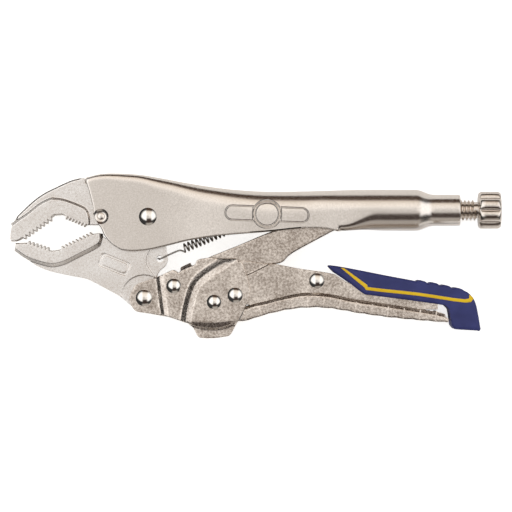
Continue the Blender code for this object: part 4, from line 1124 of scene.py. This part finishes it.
# ---- stage, light and camera
def make_stage():
    form = bmesh.new()
    corners = [form.verts.new((x, y, -0.0002)) for x, y in ((-3, -3), (3, -3), (3, 3), (-3, 3))]
    form.faces.new(corners)
    floor = from_form("floor", form)
    material, tree, shader = shader_of("pale_table")
    shader.inputs["Base Color"].default_value = linear("#F4F3F1")
    shader.inputs["Roughness"].default_value = 0.9
    ray = add_node(tree, "ShaderNodeLightPath")
    glow = add_node(tree, "ShaderNodeMapRange", {"Value": ray.outputs["Is Camera Ray"], "To Min": 0.15,
        "To Max": 0.75})
    shader.inputs["Emission Color"].default_value = (1, 0.995, 0.985, 1.0)
    tree.links.new(glow.outputs[0], shader.inputs["Emission Strength"])
    floor.data.materials.append(material)


def make_world():
    """A soft studio: one wide bright ceiling that leans to the back, with dark gaps either side of it."""
    world = bpy.data.worlds.new("studio")
    bpy.context.scene.world = world
    world.use_nodes = True
    tree = world.node_tree
    sky = tree.nodes["Background"]
    place = add_node(tree, "ShaderNodeTexCoord")
    parts = add_node(tree, "ShaderNodeSeparateXYZ", {0: place.outputs["Generated"]})
    angle = add_node(tree, "ShaderNodeMath", {0: parts.outputs["Y"], 1: parts.outputs["Z"]},
        operation="ARCTAN2")
    share = add_node(tree, "ShaderNodeMapRange", {"Value": angle, "From Min": -math.pi / 2,
        "From Max": math.pi / 2})
    ramp = add_node(tree, "ShaderNodeValToRGB", {"Fac": share})
    stops = [(-90, (0.42, 0.39, 0.36)), (-62, (0.46, 0.43, 0.40)), (-54, (0.05, 0.035, 0.03)),
        (-26, (0.06, 0.045, 0.04)), (-10, (0.86, 0.83, 0.80)), (8, (1.08, 1.05, 1.02)), (34, (1.06, 1, 0.93)),
        (50, (0.88, 0.79, 0.70)), (60, (0.09, 0.06, 0.045)), (90, (0.05, 0.03, 0.022))]
    elements = ramp.color_ramp.elements
    while len(elements) < len(stops):
        elements.new(0.5)
    for element, (degrees, level) in zip(elements, stops):
        element.position = (degrees + 90) / 180
        element.color = (*level, 1.0)
    centred = add_node(tree, "ShaderNodeMath", {0: parts.outputs["X"], 1: 0.15}, operation="SUBTRACT")
    aside = add_node(tree, "ShaderNodeMath", {0: centred}, operation="ABSOLUTE")
    share_aside = add_node(tree, "ShaderNodeMapRange", {"Value": aside, "From Min": 0.27, "From Max": 0.5})
    front = add_node(tree, "ShaderNodeMath", {0: parts.outputs["Y"], 1: 0.0}, operation="MINIMUM")
    right = add_node(tree, "ShaderNodeMath", {0: parts.outputs["X"], 1: 0.0}, operation="MAXIMUM")
    lower = add_node(tree, "ShaderNodeMath", {0: front, 1: 0.45, 2: parts.outputs["Z"]},
        operation="MULTIPLY_ADD")
    lean = add_node(tree, "ShaderNodeMath", {0: right, 1: 0.15, 2: lower}, operation="MULTIPLY_ADD")
    height = add_node(tree, "ShaderNodeMapRange", {"Value": lean, "From Min": 0.40, "From Max": 0.60,
        "To Min": 0.04, "To Max": 1.35})
    both = add_node(tree, "ShaderNodeMix", {"Factor": share_aside, "A": ramp.outputs["Color"], "B": height},
        data_type="RGBA")
    overhead = add_node(tree, "ShaderNodeMapRange", {"Value": parts.outputs["Z"], "From Min": 0.955,
        "From Max": 0.998, "To Min": 1.0, "To Max": 0.72}, interpolation_type="SMOOTHSTEP")
    dimmed = add_node(tree, "ShaderNodeVectorMath", {0: both.outputs["Result"]}, operation="SCALE")
    tree.links.new(overhead.outputs[0], dimmed.inputs["Scale"])
    tree.links.new(dimmed.outputs[0], sky.inputs["Color"])
    sky.inputs["Strength"].default_value = 1.0


def make_camera():
    """Straight down on the tool from far away, as a catalogue picture is taken."""
    camera = bpy.data.cameras.new("camera")
    obj = bpy.data.objects.new("camera", camera)
    bpy.context.scene.collection.objects.link(obj)
    distance, width = 1.6, 0.26624
    camera.sensor_width = 36.0
    camera.lens = camera.sensor_width * distance / width
    camera.clip_end = 20.0
    middle = ORIGIN + Vector((56, -20.4, 0.0)) * MM
    obj.location = middle + Vector((0, 0, distance))
    bpy.context.scene.camera = obj


make_stage()
make_world()
make_camera()
bpy.context.scene.view_settings.view_transform = "Standard"

COIL = coil_tree()
make_handle()
make_cartouche()
make_fixed_jaw()
make_lower_jaw()
make_lever()
make_ribs(rib_tree())
make_link()
make_release()
make_grip()
make_jaw_spring(COIL)
make_release_spring(COIL)
make_screw(COIL)
make_knob()
make_rivets(rivet_tree())
make_pins()
